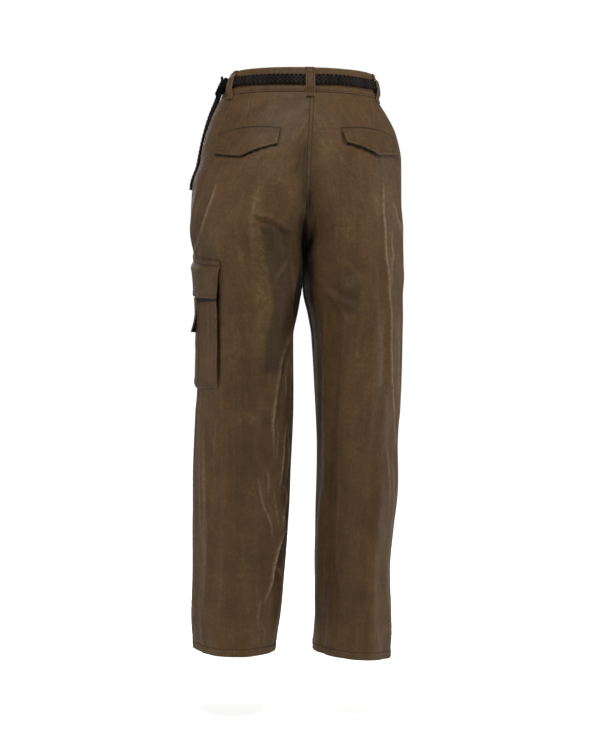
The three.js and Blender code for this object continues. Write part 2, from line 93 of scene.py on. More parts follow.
RIGHT_LEG = """drop outer inner back front square lean
 375 184 3 121 112 2.4 4
 403 183 5 120 112 2.35 2
 440 183 13 118 113 2.3 0
 485 181 20 115 114 2.25 0
 596 176 27 109 113 2.2 0
 685 172 30 107 110 2.2 0
 751 175 29 106 108 2.15 0
 835 166 26 106 108 2.1 0
 907 160 24 106 108 2.1 0
 995 162 24 103 106 2.1 0
 1062 162 20 100 102 2.1 0"""
FOLDS = """side drop1 arc1 drop2 arc2 across height
 left 205 62 330 8 15 5
 left 240 84 350 40 18 -4
 left 470 245 620 215 16 5
 left 740 225 1010 178 20 6
 left 760 190 980 150 22 -5
 left 650 -50 1000 -70 30 5
 left 430 -230 640 -190 22 5
 left 760 -215 980 -180 22 5
 right 190 60 440 42 14 4
 right 420 46 760 40 14 4
 right 330 215 400 150 20 -5
 right 780 -30 1030 -20 18 5
 left 44 -8 176 -8 46 5
 right 44 -4 160 -4 44 3
 right 440 -240 640 -210 22 5
 right 760 -120 1000 -100 26 5"""
HANG = {"left": (-8, 0, 0.045), "right": (4, 0.08, 0.02)}  # below, outwards, backwards


def table(text):
    """A text table's columns by name. The last column may be points: places with commas between."""
    names, *lines = text.splitlines()
    names = names.split()
    columns = dict(zip(names, zip(*[line.split(maxsplit=len(names) - 1) for line in lines])))
    words = ("side", "kind", "piece", "node", "slot", "held", "light")

    def read(name, cells):
        if name == "points":
            return [np.array([place.split(",") for place in cell.split()], float) for cell in cells]
        return list(cells) if name in words else np.array(cells, float)

    return {name: read(name, cells) for name, cells in columns.items()}


def rows_of(text, **wanted):
    """A text table's rows as dictionaries, those with the wanted words."""
    columns = table(text)
    count = len(next(iter(columns.values())))
    rows = [{name: cells[i] for name, cells in columns.items()} for i in range(count)]
    return [row for row in rows if all(row[name] == word for name, word in wanted.items())]


def through(x, y):
    """A smooth curve through one column of a table that never swings past its rows."""
    rise = np.diff(y) / np.diff(x)
    before, after = np.r_[rise[0], rise], np.r_[rise, rise[-1]]
    same = before * after > 0
    slope = np.where(same, 2 * before * after / np.where(same, before + after, 1), 0)

    def at(place):
        i = np.clip(np.searchsorted(x, place) - 1, 0, len(x) - 2)
        span = x[i + 1] - x[i]
        t = np.clip((place - x[i]) / span, 0, 1)
        s = 1 - t
        return (s * s * ((1 + 2 * t) * y[i] + t * span * slope[i])
                + t * t * ((1 + 2 * s) * y[i + 1] - s * span * slope[i + 1]))

    return at


def side_of(name, sign, outer, leg):
    torso, leg = table(TORSO), table(leg)
    torso["outer"] = torso[outer]
    torso["inner"] = -torso["reach"] * torso[outer]
    drops = np.r_[torso["drop"], leg["drop"]]
    columns = ("outer", "inner", "back", "front", "square", "lean")
    curves = {c: through(drops, np.r_[torso[c], leg[c]]) for c in columns}
    return {"name": name, "sign": sign, "curves": curves, "folds": rows_of(FOLDS, side=name)}


def smooth(low, high, value):
    t = np.clip((value - low) / (high - low), 0, 1)
    return t * t * (3 - 2 * t)


def mix(a, b, share):
    return a + (b - a) * share


def bell(away, width):
    return np.exp(-((away / width) ** 2))


def unit(rows):
    return rows / np.linalg.norm(rows, axis=1, keepdims=True)


def path_length(line):
    """How far along a line each of its points is."""
    return np.r_[0, np.cumsum(np.linalg.norm(np.diff(line, axis=0), axis=1))]


def between(values, gone, place):
    """Rows of values read at places along a line whose points are at gone."""
    return np.stack([np.interp(place, gone, values[:, n]) for n in range(3)], axis=1)


def oval_at(side, drop):
    """The section's oval at each level: its middle, half width, depths and squareness."""
    size = {name: curve(drop) for name, curve in side["curves"].items()}
    size["middle"] = (size["outer"] + size["inner"]) / 2
    size["half"] = (size["outer"] - size["inner"]) / 2
    return size


def outside(oval, x, y):
    """Zero on the oval, above zero outside it."""
    depth = np.where(y > 0, oval["back"], oval["front"])
    across = np.abs((x - oval["middle"]) / oval["half"]) ** oval["square"]
    return across + np.abs(y / depth) ** oval["square"] - 1


def walk(oval, depth):
    """Half sections, a row for each level, from the side seam to the centre or the inseam: x, y and arc."""
    beyond = (oval["middle"] - SEAM_GAP / 2) / oval["half"]
    cosine = -np.sign(beyond) * np.abs(beyond) ** (oval["square"] / 2)
    cut = np.where(beyond >= 1, np.pi, np.arccos(np.clip(cosine, -1, 1)))
    angle = cut[:, None] * np.linspace(0, 1, SECTION_POINTS + 1)
    c, s = np.cos(angle), np.clip(np.sin(angle), 0, 1)
    power = (2 / oval["square"])[:, None]
    x = oval["middle"][:, None] + oval["half"][:, None] * np.sign(c) * np.abs(c) ** power
    y = depth[:, None] * s**power
    arc = np.cumsum(np.hypot(np.diff(x, prepend=x[:, :1]), np.diff(y, prepend=y[:, :1])), axis=1)
    return x, y, arc


def along(half, row, arc):
    x, y, arcs = half
    count = arcs.shape[1]
    apart = 10 * LENGTH  # keeps one level's arcs clear of the next one's in a single search
    keys = (arcs + apart * np.arange(len(arcs))[:, None]).ravel()
    high = np.clip(np.searchsorted(keys, arc + apart * row) - row * count, 1, count - 1)
    low = high - 1
    share = (arc - arcs[row, low]) / (arcs[row, high] - arcs[row, low])
    return mix(x[row, low], x[row, high], share), mix(y[row, low], y[row, high], share)


def back_arc(side, drop, half="back"):
    """How far it is at each drop from the side seam to the centre or the inseam."""
    drop = np.asarray(drop, float)
    oval = oval_at(side, drop.ravel())
    return walk(oval, oval[half])[2][:, -1].reshape(drop.shape)


def front_arc(side, drop):
    return back_arc(side, drop, "front")


def fold_height(side, drop, arc):
    height = np.zeros_like(drop)
    for fold in side["folds"]:
        run = (fold["drop2"] - fold["drop1"], fold["arc2"] - fold["arc1"])
        length = math.hypot(*run)
        a, b = drop - fold["drop1"], arc - fold["arc1"]
        share = (a * run[0] + b * run[1]) / length**2
        away = (a * run[1] - b * run[0]) / length / fold["across"]
        ridge = fold["height"] * np.sin(np.pi * share) * np.exp(-away * away)
        height += np.where((share > 0) & (share < 1), ridge, 0)
    return height


def skin(side, drop, arc, lift=0.0):
    """Points on the cloth, moved out from its face by lift. Arcs above zero are behind the side seam."""
    drop, arc, lift = (np.asarray(v, float) for v in np.broadcast_arrays(drop, arc, lift))
    shape = drop.shape
    drop, arc, lift = drop.ravel(), arc.ravel(), lift.ravel()
    levels, row = np.unique(np.round(drop, 2), return_inverse=True)
    oval = oval_at(side, levels)
    behind = along(walk(oval, oval["back"]), row, arc)
    ahead = along(walk(oval, -oval["front"]), row, -arc)
    x, y = (np.where(arc >= 0, b, a) for b, a in zip(behind, ahead))
    here = oval_at(side, drop)
    step, down = 1e-3, 1.0
    normal = unit(np.stack([
        (outside(here, x + step, y) - outside(here, x - step, y)) / step,
        (outside(here, x, y + step) - outside(here, x, y - step)) / step,
        (outside(oval_at(side, drop - down), x, y) - outside(oval_at(side, drop + down), x, y)) / down,
    ], axis=1))
    below, outwards, backwards = HANG[side["name"]]
    low = smooth(2 * CROTCH_DROP, LENGTH, drop)
    sag = below + outwards * (x - here["middle"]) + backwards * y
    point = np.stack([x, y, BAND_HEIGHT / 2 - drop - low * sag], axis=1)
    point += normal * (lift + fold_height(side, drop, arc) + relief(side, drop, arc))[:, None]
    point[:, 0] *= side["sign"]
    point[:, 0] += here["lean"] * np.maximum(0, point[:, 1] / here["back"]) ** LEAN_POWER
    return point.reshape(shape + (3,))


# ---------------------------------------------------------------- creases

# Creases through places on the cloth, each drop,arc. ridge: rounded, above the cloth or below it;
# sharp: a pressed line that catches the light; fold: cloth that hangs over its own lower side.
# wear is how chalky the wax has turned along it.
CREASES = """side kind width height wear points
 left sharp 5 3.2 1.0 212,106 240,103 268,96 302,72 336,0
 left ridge 9 2.0 .2 232,72 262,56 300,34
 left ridge 13 2.2 .2 236,190 298,190 372,176
 left fold 6 3.0 0 268,188 276,202 281,226 296,252
 left fold 5 1.8 0 292,236 297,250 299,264
 left ridge 12 -2.0 0 330,235 372,222 410,214
 left ridge 9 1.8 .2 346,250 366,228 390,206
 left sharp 6 3.4 .5 470,254 518,216 568,202 640,190 676,198
 left ridge 9 -2.4 0 500,238 560,221 640,208
 left sharp 4.5 2.6 .7 640,231 672,222 702,221 742,216 756,210
 left sharp 4 2.4 .9 752,219 768,230 788,229 808,218 840,211
 left sharp 4 2.0 .6 636,233 700,237 756,230
 left sharp 4.5 2.2 .5 738,164 782,173 816,188 850,194
 left sharp 4 1.4 .3 726,178 742,186 764,187
 left ridge 8 -2.0 0 700,200 760,199 830,203
 left ridge 6 1.2 .2 628,86 672,82 700,84
 left ridge 8 2.2 .4 650,52 744,60 840,61 900,60
 left ridge 7 1.6 .3 690,42 782,46 892,56
 left ridge 12 2.2 .3 800,67 890,65 990,56
 left ridge 14 -1.8 0 700,76 800,84 960,78
 left sharp 5.5 4.0 1.0 806,214 834,221 860,207 900,195 932,191 970,180
 left ridge 10 -3.0 0 840,212 900,208 960,204
 left sharp 6 3.2 1.0 906,206 924,224 960,226 998,221 1046,209
 left sharp 3 1.4 .7 496,242 560,239 640,240
 left sharp 3 1.2 .4 596,198 640,190 700,196
 left sharp 2.8 1.2 .4 630,202 665,206 706,202
 left sharp 2.6 1.2 .35 724,185 748,183 776,186
 left sharp 2.6 1.3 .45 760,198 800,202 832,206
 left sharp 2.8 1.3 .45 520,233 556,224 610,226
 left sharp 3 1.4 .4 596,34 664,44 730,41
 left sharp 3 1.2 .35 1000,176 1022,186 1044,184
 right ridge 34 -2.0 0 330,8 500,8 700,8
 left ridge 7 2.0 .3 960,174 990,168 1020,174
 left ridge 16 -1.6 0 620,120 720,130 900,122
 left ridge 16 1.6 0 560,150 700,152 860,146
 left ridge 8 1.2 .2 120,205 150,188 176,160
 left ridge 10 -1.2 0 98,196 120,170 128,140
 left ridge 8 -3.0 0 118,228 160,244 205,262 250,284
 left ridge 9 -1.5 0 236,281 285,306 338,334
 left ridge 11 3.6 0 256,270 310,282 360,276 410,250
 left sharp 5 2.2 .2 96,222 110,226 126,224 136,214
 right ridge 8 -2.2 0 120,227 150,236 188,245
 right ridge 22 -6.0 0 186,228 240,246 290,268 338,296
 right ridge 11 -4.0 0 226,256 280,284 338,318
 right sharp 5 3.0 1.0 206,110 230,113 266,121 304,120 352,120 392,119 420,115
 right sharp 4.5 2.8 .9 236,82 268,79 286,66 310,56
 right sharp 4.5 2.6 .8 286,95 318,99 338,98 376,111 404,111
 right sharp 4.5 3.0 1.0 400,116 454,111 508,106 588,92 640,74 700,52
 right ridge 9 -2.4 0 240,100 300,106 380,108
 right ridge 9 -2.0 0 440,124 520,118 600,108
 right ridge 8 2.2 .5 440,80 540,70 640,50
 right ridge 11 -2.4 0 320,190 362,186 380,168
 right ridge 24 -2.6 0 280,160 330,161 392,164
 right ridge 16 2.4 .1 222,204 270,208 330,214
 right fold 8 2.0 0 396,250 410,222 424,194 430,170
 right ridge 8 1.2 .1 404,236 440,206 470,190
 right ridge 18 2.0 .1 560,199 816,192 1000,169
 right ridge 18 -2.0 0 600,160 848,140 1026,138
 right ridge 14 -1.8 0 500,255 638,270 820,249
 right ridge 10 1.8 .3 676,102 740,96 800,86
 right sharp 6 2.6 .7 700,80 760,76 830,62
 right ridge 12 2.0 .3 820,60 920,70 1040,62
 right sharp 5 2.4 .6 930,58 980,66 1052,52
 right ridge 12 -1.8 0 880,90 960,96 1050,92
 right ridge 10 -1.2 0 92,190 118,172 128,150
 right ridge 8 1.0 .1 128,210 168,190 200,160
 left ridge 11 3.0 .2 300,-262 272,-210 232,-160
 left ridge 9 -2.4 0 312,-258 292,-206 262,-150
 left sharp 6 2.4 .5 332,-262 322,-206 304,-160
 left ridge 12 2.4 .2 352,-256 362,-206 392,-164
 left fold 8 2.0 0 376,-250 400,-214 436,-190
 left ridge 14 2.0 .1 420,-120 560,-126 700,-132
 left fold 9 2.4 .2 612,-70 634,-118 640,-170
 left ridge 9 2.6 .3 650,-196 668,-140 664,-84
 left fold 8 2.0 .2 688,-76 706,-126 704,-176
 left ridge 8 -2.2 0 640,-90 652,-140 646,-180
 left sharp 5 2.6 .6 700,-206 780,-196 870,-206
 left ridge 13 -2.4 0 740,-150 840,-160 950,-148
 left ridge 14 2.6 .2 800,-110 900,-104 1030,-112
 left sharp 5 2.4 .5 930,-70 960,-104 974,-146
 left fold 8 2.2 .1 968,-60 990,-96 996,-150
 left ridge 10 2.0 .2 470,-30 560,-24 680,-18
 right ridge 11 3.0 .2 302,-256 268,-204 226,-150
 right ridge 9 -2.2 0 318,-250 296,-196 270,-146
 right sharp 6 2.6 .6 336,-254 330,-200 316,-150
 right fold 9 2.2 .1 358,-246 376,-200 408,-160
 right ridge 14 2.2 .1 430,-126 560,-120 690,-128
 right fold 9 2.6 .2 624,-64 640,-110 636,-168
 right ridge 9 2.4 .3 656,-186 676,-132 678,-80
 right fold 8 2.2 .2 704,-70 716,-120 708,-170
 right ridge 8 -2.0 0 644,-96 660,-134 652,-176
 right sharp 5 2.6 .6 720,-204 810,-186 900,-190
 right ridge 13 -2.4 0 780,-150 860,-146 960,-158
 right ridge 13 2.4 .2 820,-84 920,-96 1040,-84
 right fold 8 2.2 .1 960,-50 984,-96 990,-150
 right sharp 5 2.2 .5 1000,-60 1016,-100 1014,-140"""

# Long soft bands down the legs: how far apart, how high, how they wander.
BANDS = """across height phase wander length
 47 .8 0.3 1.4 520
 71 .9 2.1 1.0 760
 29 .4 4.0 1.8 340
 113 1.1 1.0 .8 900"""

# Olive and ochre patches in the wax.
PATCHES = """side drop arc down across strength
 left 244 190 70 9 .75
 left 195 214 16 14 .8
 left 205 230 18 9 .6
 left 332 202 60 12 .7
 left 340 160 20 10 .6
 left 410 184 46 14 .8
 left 470 176 26 12 .5
 left 632 146 9 16 1.3
 left 520 120 60 14 .45
 left 760 150 18 20 .5
 left 900 140 60 22 .35
 right 300 196 30 12 .8
 right 246 130 22 9 .9
 right 392 196 14 10 .9
 right 520 168 22 14 .7
 right 130 216 40 18 .6
 right 700 160 50 16 .4
 left 420 -150 70 20 .6
 left 620 -130 24 26 .6
 right 500 -140 50 24 .6
 right 660 -120 30 22 .6
 right 250 -130 40 26 .5
 left 210 -140 30 20 .5"""

# Painted shade: the cloth is painted darker here to stand for shade, in the hollows under the seat and
# between
# the legs, beside the cargo pocket's rear edge and over broad stretches of the legs. Points are
# drop,near,far:
# between a near and a far arc at each drop, or drop,near where it reaches the centre seam or the inseam.
# Its edges are spread over soft, and its ends over fade.
PAINTED_SHADE_PLACES = """side strength soft fade points
 left .30 12 30 120,238,270 212,246,280
 left .45 14 26 180,264,300 262,272,320
 left 1.0 4 14 262,284 271,289 294,292 310,293 346,284 382,264 400,255 430,250 456,254
 left .44 10 18 280,207,262 331,203,254 385,202,248 427,200,250 470,188,250 500,180,226 560,176,212
 left 1.0 3 10 358,97,107 380,95,106 414,92.5,102 430,91.5,97.5 480,89.5,94.5 540,88,92.5 568,88,91
 left .15 40 90 470,110,262 700,120,262 970,110,262
 right .15 40 90 620,70,230 800,70,230 1010,70,230
 right .25 14 30 120,228,256 206,232,262
 right .40 24 30 184,238,300 280,246,300
 right .95 44 26 214,268 256,268 290,274 346,274 382,282 415,292 446,308
 right .34 9 14 350,198,212 372,183,216 394,172,216 430,178,214 450,190,208"""

# Places where something is sewn on or the cloth is held flat, so creases fade out.
FLAT_PLACES = """side drop arc down across
 left 465 12 125 96
 left 140 122 46 78
 right 138 114 46 78"""
WAIST_FADE = (48, 110)  # drops between which creases come in
PAST_SEAMS = 400  # an arc beyond every seam
CREASE_STRENGTH = 1.6
CHALK_WIDTH = 2.5  # the widest chalky line


def bend_through(points, steps=8):
    """A smooth line through a few points."""
    p = np.concatenate([[2 * points[0] - points[1]], points, [2 * points[-1] - points[-2]]])
    t = np.linspace(0, 1, steps, endpoint=False)[:, None]
    parts = []
    for a, b, c, d in zip(p[:-3], p[1:-2], p[2:-1], p[3:]):
        parts.append(0.5 * (2 * b + (c - a) * t + (2 * a - 5 * b + 4 * c - d) * t**2
                            + (3 * b - a - 3 * c + d) * t**3))
    return np.concatenate([*parts, p[-2:-1]])


def near_line(line, drop, arc, reach):
    """For places near a line: their indices, signed distance from it, and how far along it, 0 to 1."""
    low, high = line.min(0) - reach, line.max(0) + reach
    near = np.flatnonzero((drop > low[0]) & (drop < high[0]) & (arc > low[1]) & (arc < high[1]))
    place = np.stack([drop[near], arc[near]], axis=1)
    best = np.full(len(near), np.inf)
    signed, share = np.zeros(len(near)), np.zeros(len(near))
    for i, (a, b) in enumerate(zip(line[:-1], line[1:])):
        run = b - a
        t = np.clip((place - a) @ run / (run @ run), 0, 1)
        gone = place - a - t[:, None] * run
        away = np.hypot(*gone.T)
        closer = away < best
        best[closer] = away[closer]
        side_sign = np.sign(run[0] * gone[:, 1] - run[1] * gone[:, 0])
        signed[closer] = (away * side_sign)[closer]
        share[closer] = ((i + t) / (len(line) - 1))[closer]
    return near, signed, share


def crease_profile(kind, away):
    """Height across a crease, away in its own widths: 1 on its line, about 0 from two widths off."""
    if kind == "sharp":
        return np.exp(-np.sqrt(away * away + 0.04) * 1.5 + 0.3)
    if kind == "fold":
        return 1.6 * (away + 0.25) * np.exp(-away * away)
    return np.exp(-away * away)


def from_centre_seam(side, drop, arc):
    """How far a place is from the centre seam, or from the inseam below the crotch."""
    levels, row = np.unique(np.round(drop, 2), return_inverse=True)
    row = row.reshape(np.shape(drop))
    return np.where(arc >= 0, back_arc(side, levels)[row] - arc, front_arc(side, levels)[row] + arc)


def in_crotch(side, drop, arc):
    """1 along the lower end of the centre seams, where they turn under between the legs."""
    return smooth(235, 270, drop) * smooth(375, 345, drop) * smooth(16, 5, from_centre_seam(side, drop, arc))


def free_to_crease(side, drop, arc):
    """1 where the cloth is free to crease, near 0 where it is held flat."""
    free = smooth(*WAIST_FADE, drop) * (1 - in_crotch(side, drop, arc))
    free = free * np.maximum(smooth(0, 8, from_centre_seam(side, drop, arc)), drop > CROTCH_DROP)
    for place in side["flat"]:
        down = np.abs(drop - place["drop"]) / place["down"]
        across = np.abs(arc - place["arc"]) / place["across"]
        free = free * (0.2 + 0.8 * smooth(0.95, 1.3, np.maximum(down, across)))
    return free


def relief(side, drop, arc):
    """The creases and soft bands on top of the CAD form."""
    height = np.zeros_like(drop)
    for band in side["bands"]:
        wander = band["wander"] * np.sin(2 * np.pi * drop / band["length"] + band["phase"])
        turn = 2 * np.pi * arc / band["across"] + side["sign"] * band["phase"] + wander
        height += band["height"] * np.sin(turn) * smooth(200, 420, drop)
    for crease in side["creases"]:
        near, away, share = near_line(crease["line"], drop, arc, 3 * crease["width"])
        profile = crease_profile(crease["kind"], away / crease["width"])
        height[near] += CREASE_STRENGTH * crease["height"] * np.sin(np.pi * share) ** 0.7 * profile
    return height * free_to_crease(side, drop, arc)


def worn(side, drop, arc):
    """How chalky the wax is: thin broken lines along the sharper creases."""
    shape = np.shape(drop)
    drop, arc = np.ravel(drop), np.ravel(arc)
    chalk = np.zeros_like(drop)
    for crease in side["creases"]:
        if crease["wear"] > 0:
            near, away, share = near_line(crease["line"], drop, arc, 8)
            line = bell(away, min(0.42 * crease["width"], CHALK_WIDTH))
            chalk[near] += crease["wear"] * np.sqrt(np.sin(np.pi * share)) * line
    return np.clip(chalk, 0, 1).reshape(shape)


def patched(side, drop, arc):
    """How olive the wax is: soft oval spots."""
    olive = np.zeros(np.broadcast(drop, arc).shape)
    for spot in side["patches"]:
        away = ((drop - spot["drop"]) / spot["down"]) ** 2 + ((arc - spot["arc"]) / spot["across"]) ** 2
        olive += spot["strength"] * np.exp(-away)
    return np.clip(olive, 0, 1.5)


def darkened(side, drop, arc):
    """How much painted shade darkens the cloth."""
    dark = np.zeros(np.broadcast(drop, arc).shape)
    for place in side["dark"]:
        down, near, *far = place["points"].T
        far = far[0] if far else np.full(len(down), PAST_SEAMS)
        half, fade = place["soft"] / 2, place["fade"]
        near, far = np.interp(drop, down, near), np.interp(drop, down, far)
        inside = smooth(near - half, near + half, arc) * smooth(far + half, far - half, arc)
        ends = smooth(down[0], down[0] + fade, drop) * smooth(down[-1], down[-1] - fade, drop)
        dark += place["strength"] * inside * ends
    return np.clip(dark, 0, 1)


LEFT = side_of("left", 1, "outerLeft", LEFT_LEG)
RIGHT = side_of("right", -1, "outerRight", RIGHT_LEG)
for side in (LEFT, RIGHT):
    side["bands"] = rows_of(BANDS)
    side["patches"] = rows_of(PATCHES, side=side["name"])
    side["dark"] = rows_of(PAINTED_SHADE_PLACES, side=side["name"])
    side["flat"] = rows_of(FLAT_PLACES, side=side["name"])
    side["creases"] = rows_of(CREASES, side=side["name"])
    for crease in side["creases"]:
        crease["line"] = bend_through(crease["points"])

# ---------------------------------------------------------------- materials

CLOTH_BROWN = (0.087, 0.0475, 0.0175, 1)
CLOTH_BROWN_DEEP = (0.066, 0.0352, 0.0132, 1)
CLOTH_OLIVE = (0.120, 0.084, 0.028, 1)
CLOTH_STREAK = (0.112, 0.068, 0.034, 1)
CLOTH_CHALK = (0.235, 0.170, 0.112, 1)
# A darker copy of the cloth's browns, as painted shade for the bellows down in their slot.
SHADED_BROWN = (0.045, 0.027, 0.0130, 1)
SHADED_BROWN_DEEP = (0.035, 0.021, 0.010, 1)
THREAD_BROWN = (0.018, 0.0100, 0.0052, 1)
THREAD_LIGHT = (0.034, 0.0195, 0.0105, 1)
BRAID_BLACK = (0.0008, 0.0007, 0.0006, 1)
BRAID_WEAR_AND_HIGHLIGHT = (0.030, 0.0238, 0.0200, 1)
FASTENER_BLACK = (0.006, 0.0055, 0.005, 1)
FASTENER_HOOK = (0.020, 0.019, 0.018, 1)
FLOOR_PALE = (0.90, 0.90, 0.89, 1)
FLOOR_GRAIN = (0.885, 0.885, 0.875, 1)
WAVE_LENGTH = 0.314  # metres between the bands of a wave texture of scale 1
WEAVE = 0.55  # from one thread to the next
PLY = 0.9  # from one ply of the braid's yarn to the next
HOOK = 1.1  # from one hook of the fastener to the next


class Shader:
    """A material's node tree, with short ways to add and join nodes."""

    def __init__(self, name):
        self.material = bpy.data.materials.new(name)
        self.material.use_nodes = True
        self.nodes = self.material.node_tree.nodes
        self.links = self.material.node_tree.links
        self.surface = self.nodes["Principled BSDF"]

    def add(self, kind, inputs=None, **settings):
        node = self.nodes.new(f"ShaderNode{kind}")
        for name, value in settings.items():
            setattr(node, name, value)
        for name, value in (inputs or {}).items():
            if isinstance(value, bpy.types.NodeSocket):
                self.links.new(value, node.inputs[name])
            else:
                node.inputs[name].default_value = value
        return node

    def set(self, **inputs):
        for name, value in inputs.items():
            self.surface.inputs[name.replace("_", " ")].default_value = value

    def link(self, value, name):
        self.links.new(value, self.surface.inputs[name])

    def noise(self, vector, scale, detail=3.0, roughness=0.5, distortion=0.0):
        inputs = {"Vector": vector, "Scale": scale, "Detail": detail, "Roughness": roughness,
                  "Distortion": distortion}
        return self.add("TexNoise", inputs).outputs[0]

    def ramp(self, value, low, high, to_low=0.0, to_high=1.0):
        inputs = {"Value": value, "From Min": low, "From Max": high, "To Min": to_low, "To Max": to_high}
        return self.add("MapRange", inputs, interpolation_type="SMOOTHSTEP").outputs[0]

    def wave(self, vector, scale, direction, distortion):
        inputs = {"Vector": vector, "Scale": scale, "Distortion": distortion}
        return self.add("TexWave", inputs, bands_direction=direction).outputs["Fac"]

    def math(self, operation, a, b):
        return self.add("Math", {0: a, 1: b}, operation=operation).outputs[0]

    def times(self, a, b):
        return self.math("MULTIPLY", a, b)

    def plus(self, a, b):
        return self.math("ADD", a, b)

    def colours(self, share, a, b, blend="MIX"):
        node = self.add("Mix", data_type="RGBA", blend_type=blend)
        for socket, value in ((node.inputs[0], share), (node.inputs[6], a), (node.inputs[7], b)):
            if isinstance(value, bpy.types.NodeSocket):
                self.links.new(value, socket)
            else:
                socket.default_value = value
        return node.outputs[2]

    def bump(self, height, distance, strength=1.0, normal=None):
        inputs = {"Height": height, "Distance": distance, "Strength": strength}
        if normal is not None:
            inputs["Normal"] = normal
        return self.add("Bump", inputs).outputs[0]

    def cloth_place(self, across=1.0, down=1.0):
        """Places on the flat cloth, in metres across and down."""
        uv = self.add("UVMap", uv_map="cloth").outputs[0]
        return self.add("Mapping", {"Vector": uv, "Scale": (across, down, 1)}).outputs[0]

    def attribute(self, name):
        return self.add("Attribute", attribute_name=name).outputs["Fac"]


def waxed_cotton(name, brown=CLOTH_BROWN, deep=CLOTH_BROWN_DEEP):
    """Papery waxed cotton: a fine plain weave under wax that has creased, mottled and turned chalky."""
    s = Shader(name)
    flat = s.cloth_place()
    warp, weft = (s.wave(flat, WAVE_LENGTH / (WEAVE * MM), way, 0.4) for way in "XY")
    weave = s.plus(warp, weft)

    # Colour: broad brown mottling, fine flecks, olive patches, and chalk on the creases.
    broad = s.ramp(s.noise(flat, 11, 4, 0.6, 0.4), 0.35, 0.68)
    colour = s.colours(broad, deep, brown)
    streaks = s.ramp(s.noise(s.cloth_place(120, 7), 1, 4, 0.65), 0.42, 0.75, 0, 0.32)
    colour = s.colours(streaks, colour, CLOTH_STREAK)
    patchy = s.ramp(s.noise(flat, 75, 5, 0.7, 0.8), 0.44, 0.62)
    olive = s.times(s.attribute("olive"), s.plus(s.times(patchy, 0.75), 0.12))
    loose_olive = s.times(s.ramp(s.noise(flat, 24, 6, 0.7, 1.0), 0.60, 0.74), 0.30)
    colour = s.colours(s.add("Clamp", {0: s.plus(olive, loose_olive)}).outputs[0], colour, CLOTH_OLIVE)
    flecks = s.ramp(s.noise(s.cloth_place(1, 0.6), 300, 3, 0.7), 0.32, 0.72, 0.87, 1.13)
    mottles = s.ramp(s.noise(s.cloth_place(1, 0.7), 60, 4, 0.6, 0.4), 0.34, 0.68, 0.92, 1.08)
    weft_lines = s.ramp(s.noise(s.cloth_place(25, 420), 1, 2, 0.6), 0.3, 0.7, 0.94, 1.06)
    # seam darkens along seams, darts and stitches, and also carries painted shade and painted shadow: under
    # the flaps, beside the pleat, at the flaps' ends and in the painted shade places.
    seams = s.math("SUBTRACT", 1.0, s.times(s.attribute("seam"), 0.93))
    tone = s.times(s.times(flecks, s.times(mottles, weft_lines)), seams)
    grey = s.add("CombineColor", {0: tone, 1: tone, 2: tone}).outputs[0]
    colour = s.colours(1.0, colour, grey, "MULTIPLY")
    broken = s.ramp(s.noise(flat, 140, 4, 0.7), 0.30, 0.62, 0.25, 1.0)
    chalk = s.times(s.attribute("worn"), broken)
    s.link(s.colours(chalk, colour, CLOTH_CHALK), "Base Color")

    # Gloss: waxy, duller where it is chalky.
    gloss = s.ramp(s.noise(flat, 38, 5, 0.65), 0.3, 0.7, 0.48, 0.64)
    s.link(s.plus(gloss, s.times(chalk, 0.12)), "Roughness")
    s.set(Sheen_Weight=0.04, Sheen_Roughness=0.4, Sheen_Tint=(1.0, 0.93, 0.84, 1), Specular_IOR_Level=0.17)

    # Relief: papery crinkle, a net of fine creases in places, and the weave.
    crinkle = s.bump(s.noise(s.cloth_place(1.0, 0.45), 60, 5, 0.55, 0.3), 1.6 * MM, 0.75)
    wander = s.add("TexNoise", {"Vector": flat, "Scale": 30, "Detail": 3}).outputs["Color"]
    bent = s.add("VectorMath", {0: flat, 1: wander}, operation="ADD").outputs[0]
    net_place = s.add("Mapping", {"Vector": bent, "Scale": (1, 0.6, 1)}).outputs[0]
    net = s.add("TexVoronoi", {"Vector": net_place, "Scale": 34}, feature="DISTANCE_TO_EDGE").outputs[0]
    where = s.ramp(s.noise(flat, 9, 3, 0.5), 0.42, 0.66)
    lines = s.times(s.math("SUBTRACT", s.ramp(net, 0.0, 0.09), 1.0), where)
    creased = s.bump(lines, 0.30 * MM, 0.4, crinkle)
    grain = s.bump(s.noise(flat, 420, 3, 0.6), 0.25 * MM, 0.5, creased)
    s.link(s.bump(weave, 0.05 * MM, 0.5, grain), "Normal")
    return s.material


def thread_material():
    s = Shader("thread")
    place = s.add("TexCoord").outputs["Object"]
    twist = s.wave(place, 900, "DIAGONAL", 1.0)
    s.link(s.colours(twist, THREAD_BROWN, THREAD_LIGHT), "Base Color")
    s.set(Roughness=0.7, Specular_IOR_Level=0.12)
    s.link(s.bump(twist, 0.05 * MM, 0.6), "Normal")
    return s.material


def braid_material():
    """Black cord yarn, its fibres along each strand, lighter on the high places from a little wear and a
    painted highlight.
    """
    s = Shader("braid_yarn")
    strand = s.cloth_place()
    fibres = s.noise(s.cloth_place(1, 12), 160, 4, 0.7, 0.2)
    plies = s.wave(strand, WAVE_LENGTH / (PLY * MM), "DIAGONAL", 1.2)
    uneven = s.ramp(s.noise(strand, 60, 4, 0.6), 0.35, 0.7, 0.45, 1.0)
    s.link(s.colours(s.times(s.attribute("rub"), uneven), BRAID_BLACK, BRAID_WEAR_AND_HIGHLIGHT), "Base Color")
    s.link(s.ramp(fibres, 0.3, 0.7, 0.52, 0.72), "Roughness")
    s.set(Sheen_Weight=0.0, Specular_IOR_Level=0.07)
    s.link(s.bump(fibres, 0.3 * MM, 0.6, s.bump(plies, 0.25 * MM, 0.7)), "Normal")
    return s.material


